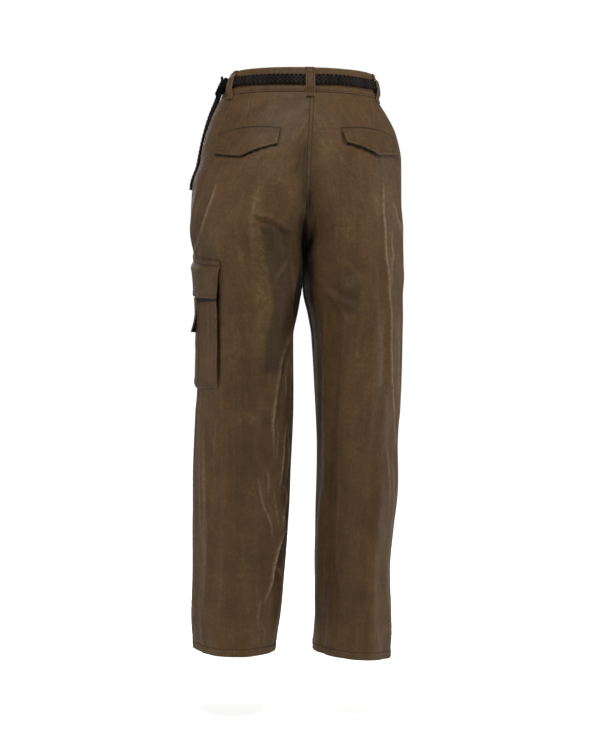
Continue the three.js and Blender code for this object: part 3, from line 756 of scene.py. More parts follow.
def fastener_material():
    """The hooked face of touch fastener."""
    s = Shader("touch_fastener_hooks")
    flat = s.cloth_place()
    hooks = s.add("TexVoronoi", {"Vector": flat, "Scale": 1 / (HOOK * MM), "Randomness": 0.5}).outputs[0]
    s.link(s.colours(s.ramp(hooks, 0.1, 0.6), FASTENER_HOOK, FASTENER_BLACK), "Base Color")
    s.set(Roughness=0.6)
    s.link(s.bump(hooks, -0.6 * MM, 0.9), "Normal")
    return s.material


COTTON = waxed_cotton("waxed_cotton")
# The same cloth made darker: painted shade.
COTTON_SHADED = waxed_cotton("waxed_cotton_shaded", SHADED_BROWN, SHADED_BROWN_DEEP)
THREAD = thread_material()
BRAID = braid_material()
FASTENER = fastener_material()

# ---------------------------------------------------------------- meshes


def build(name, parts, material, sharp=50):
    """A smooth shaded mesh made of parts: points in millimetres, faces, uv, and values for each point."""
    first = np.cumsum([0] + [len(part["points"]) for part in parts])
    points = np.concatenate([part["points"] for part in parts])
    faces = []
    for part, start in zip(parts, first):
        faces += (part["faces"] + start).tolist()
        faces += [[point + start for point in end] for end in part.get("ends", [])]
    mesh = bpy.data.meshes.new(name)
    mesh.from_pydata((points * MM).tolist(), [], faces)
    if "uv" in parts[0]:
        uv = np.concatenate([part["uv"] for part in parts])
        corner = np.zeros(len(mesh.loops), np.int32)
        mesh.loops.foreach_get("vertex_index", corner)
        layer = mesh.uv_layers.new(name="cloth")
        layer.data.foreach_set("uv", (uv[corner] * MM).astype(np.float32).ravel())
    for key in parts[0].get("values", {}):
        value = np.concatenate([part["values"][key] for part in parts])
        mesh.attributes.new(key, "FLOAT", "POINT").data.foreach_set("value", value.astype(np.float32))
    mesh.materials.append(material)
    mesh.polygons.foreach_set("use_smooth", [True] * len(mesh.polygons))
    mesh.set_sharp_from_angle(angle=math.radians(sharp))
    made = bpy.data.objects.new(name, mesh)
    bpy.context.collection.objects.link(made)
    return made


def wall_faces(rows, columns):
    """Faces of a closed wall: a grid of outer points, then the same grid of inner points."""
    def quads(*corners):
        return np.stack([(face * rows + row) * columns + column for face, row, column in corners], axis=1)

    i, j = (v.ravel() for v in np.meshgrid(np.arange(rows - 1), np.arange(columns - 1), indexing="ij"))
    down, across = np.arange(rows - 1), np.arange(columns - 1)
    last, end = rows - 1, columns - 1
    return np.concatenate([
        quads((0, i, j), (0, i + 1, j), (0, i + 1, j + 1), (0, i, j + 1)),
        quads((1, i, j), (1, i, j + 1), (1, i + 1, j + 1), (1, i + 1, j)),
        quads((0, 0, across), (0, 0, across + 1), (1, 0, across + 1), (1, 0, across)),
        quads((0, last, across + 1), (0, last, across), (1, last, across), (1, last, across + 1)),
        quads((0, down + 1, 0), (0, down, 0), (1, down, 0), (1, down + 1, 0)),
        quads((0, down, end), (0, down + 1, end), (1, down + 1, end), (1, down, end)),
    ])


def facing_out(points, faces):
    """The same faces, turned round if they face into the solid."""
    a, b, c, d = (points[faces[:, n]] for n in range(4))
    middle = points.mean(0)
    volume = sum(float(np.einsum("ij,ij->", p - middle, np.cross(q - middle, r - middle)))
                 for p, q, r in ((a, b, c), (a, c, d)))
    return faces if volume > 0 else faces[:, ::-1]


def wall(outer, inner, drop, arc, values):
    """A piece of cloth: a closed wall between two grids of points, at these places on the flat cloth."""
    rows, columns = outer.shape[:2]
    points = np.concatenate([outer.reshape(-1, 3), inner.reshape(-1, 3)])
    flat = [np.broadcast_to(v, (rows, columns)).ravel() for v in (arc, drop)]
    uv = np.stack(flat, axis=1)
    nothing = np.zeros((rows, columns))
    # seam: dark seam and stitch lines, and painted shade where a piece sets it.
    values = {"worn": nothing, "olive": nothing, "seam": nothing} | values
    kept = {key: np.r_[np.ravel(value + nothing), nothing.ravel()] for key, value in values.items()}
    faces = facing_out(points, wall_faces(rows, columns))
    return {"points": points, "faces": faces, "uv": np.r_[uv, uv], "values": kept}


def laid(side, drop, arc, lift, thick, **values):
    """A wall laid on one side of the garment: grids of drops, arcs, inner lifts and thicknesses."""
    drop, arc, lift, thick = (np.array(v, float) for v in np.broadcast_arrays(drop, arc, lift, thick))
    outer, inner = skin(side, drop, arc, lift + thick), skin(side, drop, arc, lift)
    seen = {"worn": worn(side, drop, arc), "olive": patched(side, drop, arc)} | values
    return wall(outer, inner, drop, side["sign"] * arc, seen)


def spaced(start, end, step):
    """Places from start to end, both kept, about step apart."""
    count = max(1, round(abs(end - start) / step))
    return np.linspace(start, end, count + 1)


def ripple(place, length):
    """An uneven wave of about that length, between -1 and 1."""
    turn = 2 * np.pi * np.asarray(place) / length
    return 0.6 * np.sin(turn + 0.8 * np.sin(turn / 3.7)) + 0.4 * np.sin(1.73 * turn + 1.1)


STITCH = {"length": 2.5, "pitch": 3.3, "half_width": 0.32, "stand": 0.28}
stitch_points, stitch_faces = [], []


def sew(side, drops, arcs, lift):
    """A row of stitches along a line on the cloth."""
    sew_line(skin(side, drops, arcs, lift), skin(side, drops, arcs, lift + 1))


def sew_line(line, above):
    gone, normals = path_length(line), above - line
    count = int(gone[-1] / STITCH["pitch"])
    starts = (np.arange(count) + 0.15) * STITCH["pitch"]
    a, b = between(line, gone, starts), between(line, gone, starts + STITCH["length"])
    normal = unit(between(normals, gone, starts + STITCH["length"] / 2))
    side_way = np.cross(normal, b - a)
    side_way *= STITCH["half_width"] / np.maximum(np.linalg.norm(side_way, axis=1, keepdims=True), 1e-6)
    middle, rise = (a + b) / 2, normal * STITCH["stand"]
    points = np.stack([a, b, middle + side_way, middle + rise, middle - side_way, middle - rise], axis=1)
    first = sum(len(p) for p in stitch_points)
    shape = np.array([(0, 2, 3), (0, 3, 4), (0, 4, 5), (0, 5, 2), (1, 3, 2), (1, 4, 3), (1, 5, 4), (1, 2, 5)])
    stitch_points.append(points.reshape(-1, 3))
    stitch_faces.append((first + 6 * np.arange(count)[:, None, None] + shape).reshape(-1, 3))


# ---------------------------------------------------------------- leg panels

EDGE_STEPS = np.array([0, 0.4, 0.9, 1.5, 2.2, 3.2, 4.6, 5.8, 6.5, 7.0, 7.5, 8.3, 10])
TOPSTITCH = 7.0
SEAM_LAP = 0.2  # sewn edges run a little into each other, so that no light comes through
CROTCH_LAP = 0.9  # and more where the centre seams turn under
PANEL_COLUMN = 3.4  # about how far apart a panel's columns and rows are
PANEL_ROW = 4.4
MOUTH = {"width": 44, "length": 158, "under": 12, "depth": 1.2}
DART_STEPS = np.array([-3, -1.7, -0.9, -0.3, 0.3, 0.9, 1.7, 3])
# Each dart's top and point: drop and distance from the centre back.
DARTS = {"left": ((46, 106), (106, 116)), "right": ((46, 125), (110, 120))}
WIDEST = {"back": 352, "front": 334}
WAIST_SEAM = BAND_HEIGHT + SEAM_GAP
HEM_STITCH = LENGTH - HEM_HEIGHT + 0.6
STITCHED_SIDE = {"back": "right", "front": "left"}  # whose centre seam shows its stitches
STITCH_SUNK = -0.15  # from the cloth's face
FLY = {"length": 172, "width": 10, "curve": 38}
FLY_INSETS = (0, 6)  # between its two lines of stitches

BACK_FLAP = """across top deep
 0 115 30
 .14 113 36
 .28 112 42
 .41 112 48
 .54 113 54
 .66 115 50
 .78 118 45
 .89 121 40
 1 124 34"""
BACK_FLAP_WIDTH = 130
BACK_FLAP_PLACES = """side fromCentre raise deep slant stand
 left 50 1.8 1 4 3.6
 right 59 3.8 .9 11 4.8"""


def under_flap(side, drop, arc):
    """Painted shadow where the back flap's free edge and its ends lie over the seat."""
    shape, place = table(BACK_FLAP), rows_of(BACK_FLAP_PLACES, side=side["name"])[0]
    across = (back_arc(side, drop) - arc - place["fromCentre"]) / BACK_FLAP_WIDTH
    top = np.interp(across, shape["across"], shape["top"]) - place["raise"]
    edge = top + np.interp(across, shape["across"], shape["deep"]) * place["deep"]
    inside = smooth(-0.01, 0.03, across) * smooth(1.01, 0.97, across)
    slant = place["slant"] * (drop - top) / 40
    from_inner = np.abs(across * BACK_FLAP_WIDTH - slant + 0.6)
    from_outer = np.abs((1 - across) * BACK_FLAP_WIDTH - 1.0)
    beside = smooth(top, top + 14, drop) * smooth(edge + 1, edge - 3, drop)
    ends = bell(np.minimum(from_inner, from_outer), 2.0) * beside
    return 0.95 * np.maximum(bell(drop - edge - 0.2, 1.7) * inside, ends)


def mouth_at(drop):
    """How far in front of the side seam the front panel starts."""
    return MOUTH["width"] * np.maximum(0, 1 - (drop - BAND_HEIGHT) / MOUTH["length"])


def panel_drops():
    hem = LENGTH - HEM_HEIGHT
    top = WAIST_SEAM + np.array([0, 0.5, 1.2, 2.2, 3.4])
    bottom = np.r_[hem - np.array([4, 2.4, 1.3, 0.6, 0]), hem + np.array([0.6, 1.3, 2.6]),
                   LENGTH - np.array([9, 6.4, 4, 2.2, 1.1, 0.4, 0])]
    return np.r_[top[:-1], spaced(top[-1], bottom[0], PANEL_ROW)[:-1], bottom]


def panel_arcs(start, pivot, end, widest):
    """Arcs of a panel's columns: close together at both edges and beside the pivot, even between."""
    edge = EDGE_STEPS[-1]
    near = start[:, None] + EDGE_STEPS
    far = end[:, None] - EDGE_STEPS[::-1]
    side_steps = spaced(0, 1, PANEL_COLUMN / (widest / 2))[1:-1]
    first = mix((start + edge)[:, None], (pivot + DART_STEPS[0])[:, None], side_steps)
    second = mix((pivot + DART_STEPS[-1])[:, None], (end - edge)[:, None], side_steps)
    return np.concatenate([near, first, pivot[:, None] + DART_STEPS, second, far], axis=1)


def seam_relief(away, along_seam, stitched):
    """Height beside a seam: the edge turns in, and topstitching sinks into the felled cloth."""
    turn = -0.6 * bell(away, 0.7)
    felled = 0.45 * smooth(0.5, 2.0, away) * (1 - smooth(TOPSTITCH - 0.5, TOPSTITCH + 2.5, away))
    groove = -0.75 * bell(away - TOPSTITCH, 0.75)
    pucker = 0.32 * ripple(along_seam, 13) * bell(away, 10)
    return turn + pucker + (felled + groove) * stitched


def seam_shade(away, stitched):
    """How much the cloth is darkened in the seam and along its stitches."""
    return 0.55 * bell(away, 0.9) + 0.62 * stitched * bell(away - TOPSTITCH, 0.9)


def hem_relief(drop, arc):
    """Height at the hem: a turned-up band under its line of stitches, roped, and rounded at the fold."""
    from_hem = LENGTH - drop
    band = 0.7 * smooth(HEM_HEIGHT + 2.5, HEM_HEIGHT - 1.5, from_hem)
    groove = -0.8 * bell(drop - HEM_STITCH, 0.8)
    rope = 0.35 * ripple(arc + 1.2 * from_hem, 15) * smooth(HEM_HEIGHT + 8, HEM_HEIGHT - 3, from_hem)
    fold = -0.9 * smooth(2.0, 0, from_hem)
    return band + groove + rope + fold


def fly_stitches(inset):
    """The fly's curved line of stitches on the left front: its drops and arcs."""
    end, wide = BAND_HEIGHT + FLY["length"], FLY["curve"]
    turn = np.linspace(0, np.pi / 2, 14)[1:]
    drop = np.r_[spaced(BAND_HEIGHT + 2, end - wide, 6), end - wide + (wide - inset) * np.sin(turn)]
    from_centre = np.r_[np.full(len(drop) - 13, wide - inset), (wide - inset) * np.cos(turn)]
    return drop, np.maximum(from_centre, TOPSTITCH) - front_arc(LEFT, drop)


def panel_edges(side, kind, drop):
    """Arcs of a panel's two edges, and of the dart or middle between them."""
    lap = SEAM_LAP + CROTCH_LAP * smooth(170, 230, drop) * (drop < CROTCH_DROP - 8)
    if kind == "back":
        start = np.full(len(drop), -SEAM_LAP)
        end = back_arc(side, drop) + lap
        (top, near), (point, far) = DARTS[side["name"]]
        dart = back_arc(side, drop) - np.interp(drop, [top, point], [near, far])
        pivot = mix(dart, mix(start, end, 0.52), smooth(point, point + 160, drop))
    else:
        start = mouth_at(drop) - SEAM_LAP * (drop > BAND_HEIGHT + MOUTH["length"])
        end = front_arc(side, drop) + lap
        pivot = mix(start, end, 0.5)
    return start, pivot, end


def add_panel(side, kind):
    drop = panel_drops()
    start, pivot, end = panel_edges(side, kind, drop)
    arc = panel_arcs(start, pivot, end, WIDEST[kind])
    level = np.repeat(drop[:, None], arc.shape[1], axis=1)
    from_start, from_end = arc - start[:, None], end[:, None] - arc
    height = seam_relief(from_start, level, 1.0)
    shade = seam_shade(from_start, 0.5)
    stitched_end = np.where(level < CROTCH_DROP, side["name"] == STITCHED_SIDE[kind], kind == "front")
    height += seam_relief(from_end, level, stitched_end)
    shade += (0.5 if kind == "back" else 1) * seam_shade(from_end, stitched_end)
    if kind == "back":
        point = DARTS[side["name"]][1][0]
        away = arc - pivot[:, None]
        sewn = 1 - smooth(point - 18, point + 4, level)
        height -= (0.9 * bell(away, 0.8) - 0.35 * bell(away - 2, 1.6)) * sewn
        # Dark along the sewn dart, and the back flap's painted shadow on the seat.
        shade += 0.35 * bell(away, 0.9) * sewn + under_flap(side, level, arc)
    height += hem_relief(level, arc) - 0.7 * bell(level - WAIST_SEAM, 0.9)
    shade += 0.25 * bell(level - WAIST_SEAM, 1.2) + 0.45 * bell(level - HEM_STITCH, 1.1)
    thick = np.where(level > LENGTH - HEM_HEIGHT, HEM_WALL, CLOTH)
    sign = 1 if kind == "back" else -1
    if kind == "front" and side is LEFT:
        for inset in FLY_INSETS:
            line = np.stack(fly_stitches(inset), axis=1)
            near, away, _ = near_line(line, level.ravel(), -arc.ravel(), 4)
            shade.ravel()[near] += 0.4 * bell(away, 1.0)
            height.ravel()[near] -= 0.35 * bell(away, 0.8)
    arc = sign * arc
    height = mix(height, 0.3, in_crotch(side, level, arc))
    outer = skin(side, level, arc, height)
    inner = skin(side, level, arc, np.minimum(height, 0) * 0.4 - thick)
    # seam: dark seam, dart and stitch lines, with the painted shadow under the back flap and the painted
    # shade places.
    values = {"worn": worn(side, level, arc), "olive": patched(side, level, arc),
              "seam": np.clip(shade + darkened(side, level, arc), 0, 1)}
    part = wall(outer, inner, level, side["sign"] * arc, values)
    build(f"{kind}_panel_{side['name']}", [part], COTTON)
    add_panel_stitches(side, kind, drop, start, end, sign)


def add_panel_stitches(side, kind, drop, start, end, sign):
    """Stitches beside the side seam, beside the centre seam and inseam where they show, and round the hem."""
    body = drop < HEM_STITCH - 3
    sew(side, drop[body], sign * (start + TOPSTITCH)[body], STITCH_SUNK)
    if side["name"] == STITCHED_SIDE[kind]:
        centre = drop < CROTCH_DROP - 6
        sew(side, drop[centre], sign * (end - TOPSTITCH)[centre], STITCH_SUNK)
    if kind == "front":
        leg = (drop > CROTCH_DROP + 12) & body
        sew(side, drop[leg], sign * (end - TOPSTITCH)[leg], STITCH_SUNK)
    round_hem = spaced(2, float(back_arc(side, HEM_STITCH, kind)) - 2, 4)
    sew(side, HEM_STITCH, sign * round_hem, -0.25)


for side in (LEFT, RIGHT):
    for kind in ("back", "front"):
        add_panel(side, kind)


def add_pocket_facing(side):
    """The cloth that shows in a front pocket's slanted mouth."""
    drop = spaced(WAIST_SEAM, BAND_HEIGHT + MOUTH["length"] + 24, 5)[:, None]
    arc = -mix(SEAM_GAP / 2, mouth_at(drop) + MOUTH["under"], np.linspace(0, 1, 14))
    lift = -2 * CLOTH - MOUTH["depth"] + 1.2 * (1 - smooth(0, 9, -arc))
    build(f"pocket_facing_{side['name']}", [laid(side, drop, arc, lift, CLOTH)], COTTON)


def add_fly():
    """The fly's lapped edge on the right front, and its curved line of stitches on the left."""
    end = BAND_HEIGHT + FLY["length"]
    drop = spaced(WAIST_SEAM, end, 4)[:, None]
    width = FLY["width"] * np.interp(drop, [end - FLY["width"], end], [1, 0.5])
    across = np.array([0, 0.15, 0.4, 0.65, 0.85, 0.95, 1])
    arc = width * across - (front_arc(RIGHT, drop) - SEAM_GAP / 2)
    build("fly", [laid(RIGHT, drop, arc, 0.4, CLOTH - 0.5 * smooth(0.85, 1, across))], COTTON)
    for inset in FLY_INSETS:
        sew(LEFT, *fly_stitches(inset), 0.1)


add_fly()
for side in (LEFT, RIGHT):
    add_pocket_facing(side)

# ---------------------------------------------------------------- waistband and loops

BAND_FACE = 0.8  # the waistband's face, out from the cloth's
LAP = {"before": 14, "past": 40, "step": 2.4}
BAND_STITCH = 41.6


def whole(side, drop):
    return back_arc(side, drop) + front_arc(side, drop)


def round_waist(drop, place, lift):
    """Points round the waist. Places are distances from the centre back, above zero on the left."""
    drop, place, lift = (np.array(v, float) for v in np.broadcast_arrays(drop, place, lift))
    left, right = whole(LEFT, drop), whole(RIGHT, drop)
    past_left, past_right = place > left, place < -right
    arc_left = np.where(past_right, -front_arc(LEFT, drop) - place - right, back_arc(LEFT, drop) - place)
    arc_right = np.where(past_left, -front_arc(RIGHT, drop) + place - left, back_arc(RIGHT, drop) + place)
    on_left = (place >= 0) & ~past_left | past_right
    here = np.zeros(drop.shape + (3,))
    here[on_left] = skin(LEFT, drop[on_left], arc_left[on_left], lift[on_left])
    here[~on_left] = skin(RIGHT, drop[~on_left], arc_right[~on_left], lift[~on_left])
    return here


def sew_round(drop, place, lift):
    sew_line(round_waist(drop, place, lift), round_waist(drop, place, lift + 1))


def add_waistband():
    stitched = [40.6, 41.1, 41.6, 42.1, 42.7, 43.6, 44.2, 44.6, 45]
    down = np.r_[0, 0.2, 0.6, 1.2, 2.2, spaced(3.6, 39.6, 3.2), stitched][:, None]
    left, right = whole(LEFT, down), whole(RIGHT, down)
    fell = LAP["before"]
    round_left = np.linspace(0, 1, 118)[1:]
    place = np.concatenate([-right * np.linspace(1, 0, 121), (left - fell) * round_left,
                            left - fell + spaced(0, fell + LAP["past"] - 2, 3)[1:],
                            left + LAP["past"] - np.array([1.2, 0.5, 0.15, 0])], axis=1)
    step = LAP["step"] * mix(smooth(left - fell, left - 1, place), smooth(left - 1, left + 3, place),
                             smooth(34, 44, down))
    end = np.minimum(place + right, left + LAP["past"] - place)
    face = BAND_FACE - 0.9 * bell(np.minimum(down, end), 0.6) - 0.75 * bell(BAND_HEIGHT - down, 0.8)
    face = face - 0.45 * bell(down - BAND_STITCH, 0.55)
    face = face + (0.3 * ripple(place, 14) + 0.25 * ripple(place + 0.6 * down, 37)) * smooth(18, 42, down)
    face = face + 0.3 * ripple(place - 0.4 * down, 53) * smooth(30, 4, down)
    outer = round_waist(down, place, face + step)
    inner = round_waist(down, place, -CLOTH + step)
    chalk = 0.45 * smooth(3.5, 0.5, down) * (0.5 + 0.5 * ripple(place, 23))
    shade = 0.25 * bell(BAND_HEIGHT - down, 1.0) + 0.12 * bell(down - BAND_STITCH, 1.0) + 0.4 * bell(end, 1.0)
    values = {"worn": chalk, "olive": 0.2 * smooth(0.2, 0.8, ripple(place, 97)), "seam": shade}
    build("waistband_cloth", [wall(outer, inner, down, place, values)], COTTON)
    seam_left, seam_right = float(left[-3, 0]), float(right[-3, 0])
    places = spaced(2 - seam_right, seam_left + LAP["past"] - 4, 3)
    over = LAP["step"] * smooth(seam_left - fell, seam_left, places)
    sew_round(BAND_STITCH, places, BAND_FACE + STITCH_SUNK + over)


LOOP_WIDTH = 16
LOOP = """drop lift
 0 1.3
 4 1.0
 8 1.6
 13 4.9
 17 6.3
 27 6.9
 37 6.3
 41.5 4.4
 46 1.6
 50 0.9
 55 1.2"""
LOOP_STITCH = 5.6


def add_loop(name, place_at):
    """One belt loop: a folded strip, stitched along both edges, that comes down to the cloth at its ends."""
    shape = table(LOOP)
    gone = path_length(np.stack([shape["drop"], shape["lift"]], axis=1))
    steps = np.linspace(0, gone[-1], 44)
    drop, lift = through(gone, shape["drop"])(steps)[:, None], through(gone, shape["lift"])(steps)[:, None]
    half = LOOP_WIDTH / 2
    across = np.array([0, 0.12, 0.5, 1.2, 1.9, 2.4, 2.9, 4, 6, 8])
    across = np.r_[-half + across, (half - across)[-2::-1]]
    edge = half - np.abs(across)
    beside = edge - half + LOOP_STITCH
    thick = 2 - 0.75 * bell(edge, 0.5) - 0.45 * bell(beside, 0.5) + 0.25 * smooth(0, 6, edge)
    ends = (smooth(2.0, 0, steps) + smooth(gone[-1] - 2.0, gone[-1], steps))[:, None]
    place = place_at(drop) + across
    outer = round_waist(drop, place, lift + thick * (1 - 0.45 * ends))
    inner = round_waist(drop, place, lift)
    chalk = 0.3 * np.exp(-edge / 1.2) * smooth(6, 12, drop)
    values = {"worn": chalk, "seam": 0.3 * bell(beside, 0.8) + 0.4 * ends}
    build(name, [wall(outer, inner, drop, place, values)], COTTON)
    drop, lift = drop[:, 0], lift[:, 0]
    for offset in (-LOOP_STITCH, LOOP_STITCH):
        sew_round(drop, place_at(drop) + offset, lift + 1.75)


def side_loop_place(drop):
    return 148 + 8 * drop / 55


add_waistband()
add_loop("belt_loop_back", lambda drop: 0 * drop)
add_loop("belt_loop_left", side_loop_place)
add_loop("belt_loop_right", lambda drop: -side_loop_place(drop))
add_loop("belt_loop_front_left", lambda drop: whole(LEFT, drop) - 92)
add_loop("belt_loop_front_right", lambda drop: 92 - whole(RIGHT, drop))

# ---------------------------------------------------------------- braided belt

BELT_DROP = 22.8
BELT_WIDTH = 21
BELT_FROM_BAND = 2.6  # the braid's middle, out from the waistband's face
STRAND = {"count": 5, "wide": 5.7, "thick": 2.4, "period": 39.9, "step": 2.0, "sides": 8}


def heading(points, closed=False):
    """The way a line runs at each of its points."""
    if closed:
        return unit(np.roll(points, -1, axis=0) - np.roll(points, 1, axis=0))
    return unit(np.gradient(points, axis=0))


def braided(line, normals, width=BELT_WIDTH, strands=STRAND["count"], closed=False, narrow=(1, 1)):
    """A flat braid along a line, its flat side facing the normals. narrow is its share of the width."""
    gone = path_length(line)
    length = gone[-1]
    turns = length / STRAND["period"]
    turns = round(turns) if closed else turns
    place = np.linspace(0, length, int(length / STRAND["step"]) + 1)
    middle, normal = between(line, gone, place), between(normals, gone, place)
    if closed:
        middle, normal, place = middle[:-1], normal[:-1], place[:-1]
    run = heading(middle, closed)
    across = unit(np.cross(run, normal))
    normal = np.cross(across, run)
    keep = np.interp(place / length, np.linspace(0, 1, len(narrow)), narrow)
    wide = STRAND["wide"] * width / BELT_WIDTH * STRAND["count"] / strands
    reach = (width - wide) / 2
    rows = []
    for strand in range(strands):
        u = place / length * turns + strand / strands
        swing = np.abs(((u % 1) * 2) - 1) * 2 - 1
        eased = np.sin(np.pi / 2 * swing) * 0.2 + swing * 0.8
        going = np.where(u % 1 < 0.5, 1, -1)
        edge = 1 - smooth(0.86, 1.0, np.abs(swing))
        over = going * edge * np.cos(2 * np.pi * strands * u)
        path = middle + across * (reach * eased * keep)[:, None]
        path = path + normal * (0.62 * STRAND["thick"] * over)[:, None]
        onward = heading(path, closed)
        flat = unit(np.cross(onward, normal))
        up = np.cross(flat, onward)
        angle = np.arange(STRAND["sides"]) * 2 * np.pi / STRAND["sides"] + np.pi / STRAND["sides"]
        c, s = np.cos(angle), np.sin(angle)
        half = 0.5 * wide * (0.55 + 0.45 * keep)
        ring = (path[:, None] + flat[:, None] * (half[:, None] * np.sign(c) * np.abs(c) ** 0.8)[..., None]
                + up[:, None] * (0.5 * STRAND["thick"] * s)[None, :, None])
        # Lighter on the strand's outer side where it crosses over: a little wear and a painted highlight,
        # with the gaps left dark as painted shade.
        rub = smooth(0.45, 1.0, s) * smooth(-0.7, 0.9, over)[:, None] ** 1.5
        rows.append(tube(ring, place, closed) | {"values": {"rub": rub.ravel()}})
    return rows


def tube(ring, place, closed):
    """A strand: a closed tube through rings of points."""
    count, sides = ring.shape[:2]
    lengths = np.arange(count if closed else count - 1)
    i, j = (v.ravel() for v in np.meshgrid(lengths, np.arange(sides), indexing="ij"))
    k, n = (j + 1) % sides, (i + 1) % count
    quads = np.stack([i * sides + j, n * sides + j, n * sides + k, i * sides + k], axis=1)
    points = ring.reshape(-1, 3)
    uv = np.stack([np.tile(np.arange(sides) * 1.6, count), np.repeat(place, sides)], axis=1)
    faces = facing_out(points, quads)
    part = {"points": points, "faces": faces, "uv": uv}
    if not closed:
        ends = [np.arange(sides), (count * sides - 1 - np.arange(sides))]
        same = bool((faces == quads).all())
        part["ends"] = [(end if same else end[::-1]).tolist() for end in ends]
    return part


def round_belt():
    """The belt's ring on the waistband, standing out over the waistband's lap."""
    left, right = float(whole(LEFT, BELT_DROP)), float(whole(RIGHT, BELT_DROP))
    place = np.linspace(-right, left, 420)
    past = np.where(place > 0, place - left, place + right)
    over = smooth(-LAP["before"] - 20, -LAP["before"], past) * smooth(LAP["past"] + 20, LAP["past"], past)
    lift = BAND_FACE + BELT_FROM_BAND + LAP["step"] * over
    sag = 0.6 * ripple(place, 190)
    line = round_waist(BELT_DROP + sag, place, lift)
    above = round_waist(BELT_DROP + sag, place, lift + 1)
    build("braided_belt", braided(line, above - line, closed=True), BRAID)


def bent(text, steps=60):
    """A smooth line on the left side through rows of drop, arc and lift, with its run and the way back."""
    rows = table(text)
    gone = path_length(np.stack([rows[name] for name in ("drop", "arc", "lift")], axis=1))
    at = np.linspace(0, gone[-1], steps)
    drop, arc, lift = (through(gone, rows[name])(at) for name in ("drop", "arc", "lift"))
    line = skin(LEFT, drop, arc, lift)
    return line, heading(line), skin(LEFT, drop, arc + 1, lift) - line


# The knot at the left hip: a turn over the belt, a bight across it, and a short end that stands up.
KNOT_TURN = """drop arc lift
 38 6 2.5
 42 5 6
 38 3 9
 27 0 10.5
 16 -2 9
 12 -3 6
 15 -3 2.5"""
KNOT_UNDER = """drop arc lift
 37 15 3
 40 14 5.5
 34 13 7.5
 24 12 8
 16 11 7
 14 10 3"""
KNOT_BIGHT = """drop arc lift
 25 24 4.5
 25 17 8
 27 8 11.5
 31 -1 12
 36 -6 9.5
 40 -8 6"""
KNOT_END = """drop arc lift
 24 2 9
 18 -1 11.5
 13 -3 13
 10 -4 14"""
TAIL = """drop arc lift
 36 -6 8
 47 -11 6.2
 62 -14 5
 80 -16 4.3
 105 -17 3.9
 150 -18 3.6
 212 -20 3.4"""
TAIL_TURN = (30, 16)  # degrees that its flat side turns to the back, at the knot and lower down
TAIL_NARROW = [1] * 18 + [0.96, 0.88, 0.78, 0.70]


def add_knot():
    knot = []
    for text, width in ((KNOT_TURN, 20), (KNOT_UNDER, 16)):
        line, run, back = bent(text)
        knot += braided(line, np.cross(run, back), width=width)
    line, run, back = bent(KNOT_BIGHT)
    down = skin(LEFT, [30], [-4]) - skin(LEFT, [27], [-4])
    knot += braided(line, np.cross(down, run), width=19)
    line, run, back = bent(KNOT_END, 24)
    knot += braided(line, np.cross(run, back), width=9, strands=3, narrow=[1, 1, 0.8, 0.45])
    build("belt_knot_braid", knot, BRAID)


def add_tail():
    line, run, back = bent(TAIL, 90)
    turn = np.radians(mix(*TAIL_TURN, smooth(0.1, 0.5, np.linspace(0, 1, len(line)))))[:, None]
    out = np.cross(run, back)
    normals = out * np.cos(turn) + back * np.linalg.norm(out, axis=1, keepdims=True) * np.sin(turn)
    return build("belt_hanging_end", braided(line, normals, narrow=TAIL_NARROW), BRAID), line


round_belt()
add_knot()
belt_end, belt_end_line = add_tail()

# ---------------------------------------------------------------- back pocket flaps

EDGE_ROWS = np.array([0, 0.15, 0.5, 1.0, 1.8, 2.4, 3.0, 3.6, 4.6])


def framed(length, step, first=EDGE_ROWS, last=EDGE_ROWS):
    """Places along a length, close together near its two ends."""
    return np.r_[first[:-1], spaced(first[-1], length - last[-1], step), (length - last)[-2::-1]]


def turned_edge(away, thick, stitch):
    """The thickness near a turned edge: rounded, a little fuller, and sunk along its stitches."""
    full = thick + 0.5 * smooth(0, 2.5, away) * (1 - smooth(6, 11, away))
    return full * (1 - 0.55 * bell(away, 0.55)) - 0.5 * bell(away - stitch, 0.55)


SOFT_ACROSS = np.linspace(-0.04, 1.04, 217)
SOFT_OVER = 7  # places that the flap's depth is evened over
FLAP_HEM, FLAP_TOP = 6.2, (2.6, 8.6)  # its stitches, from its free edge and from its top


def flap_at(shape, place, across, down, deep):
    """Places on a back flap: drop, distance from the centre back, and lift."""
    drop = np.interp(across, shape["across"], shape["top"]) - place["raise"] + deep * down
    from_centre = place["fromCentre"] + BACK_FLAP_WIDTH * across + place["slant"] * down * (1 - across)
    lift = 0.35 + place["stand"] * down**2.2 * (0.8 + 0.2 * ripple(from_centre, 90))
    return drop, from_centre, lift + 0.35 * ripple(from_centre + 0.5 * drop, 31) * smooth(0.1, 0.5, down)


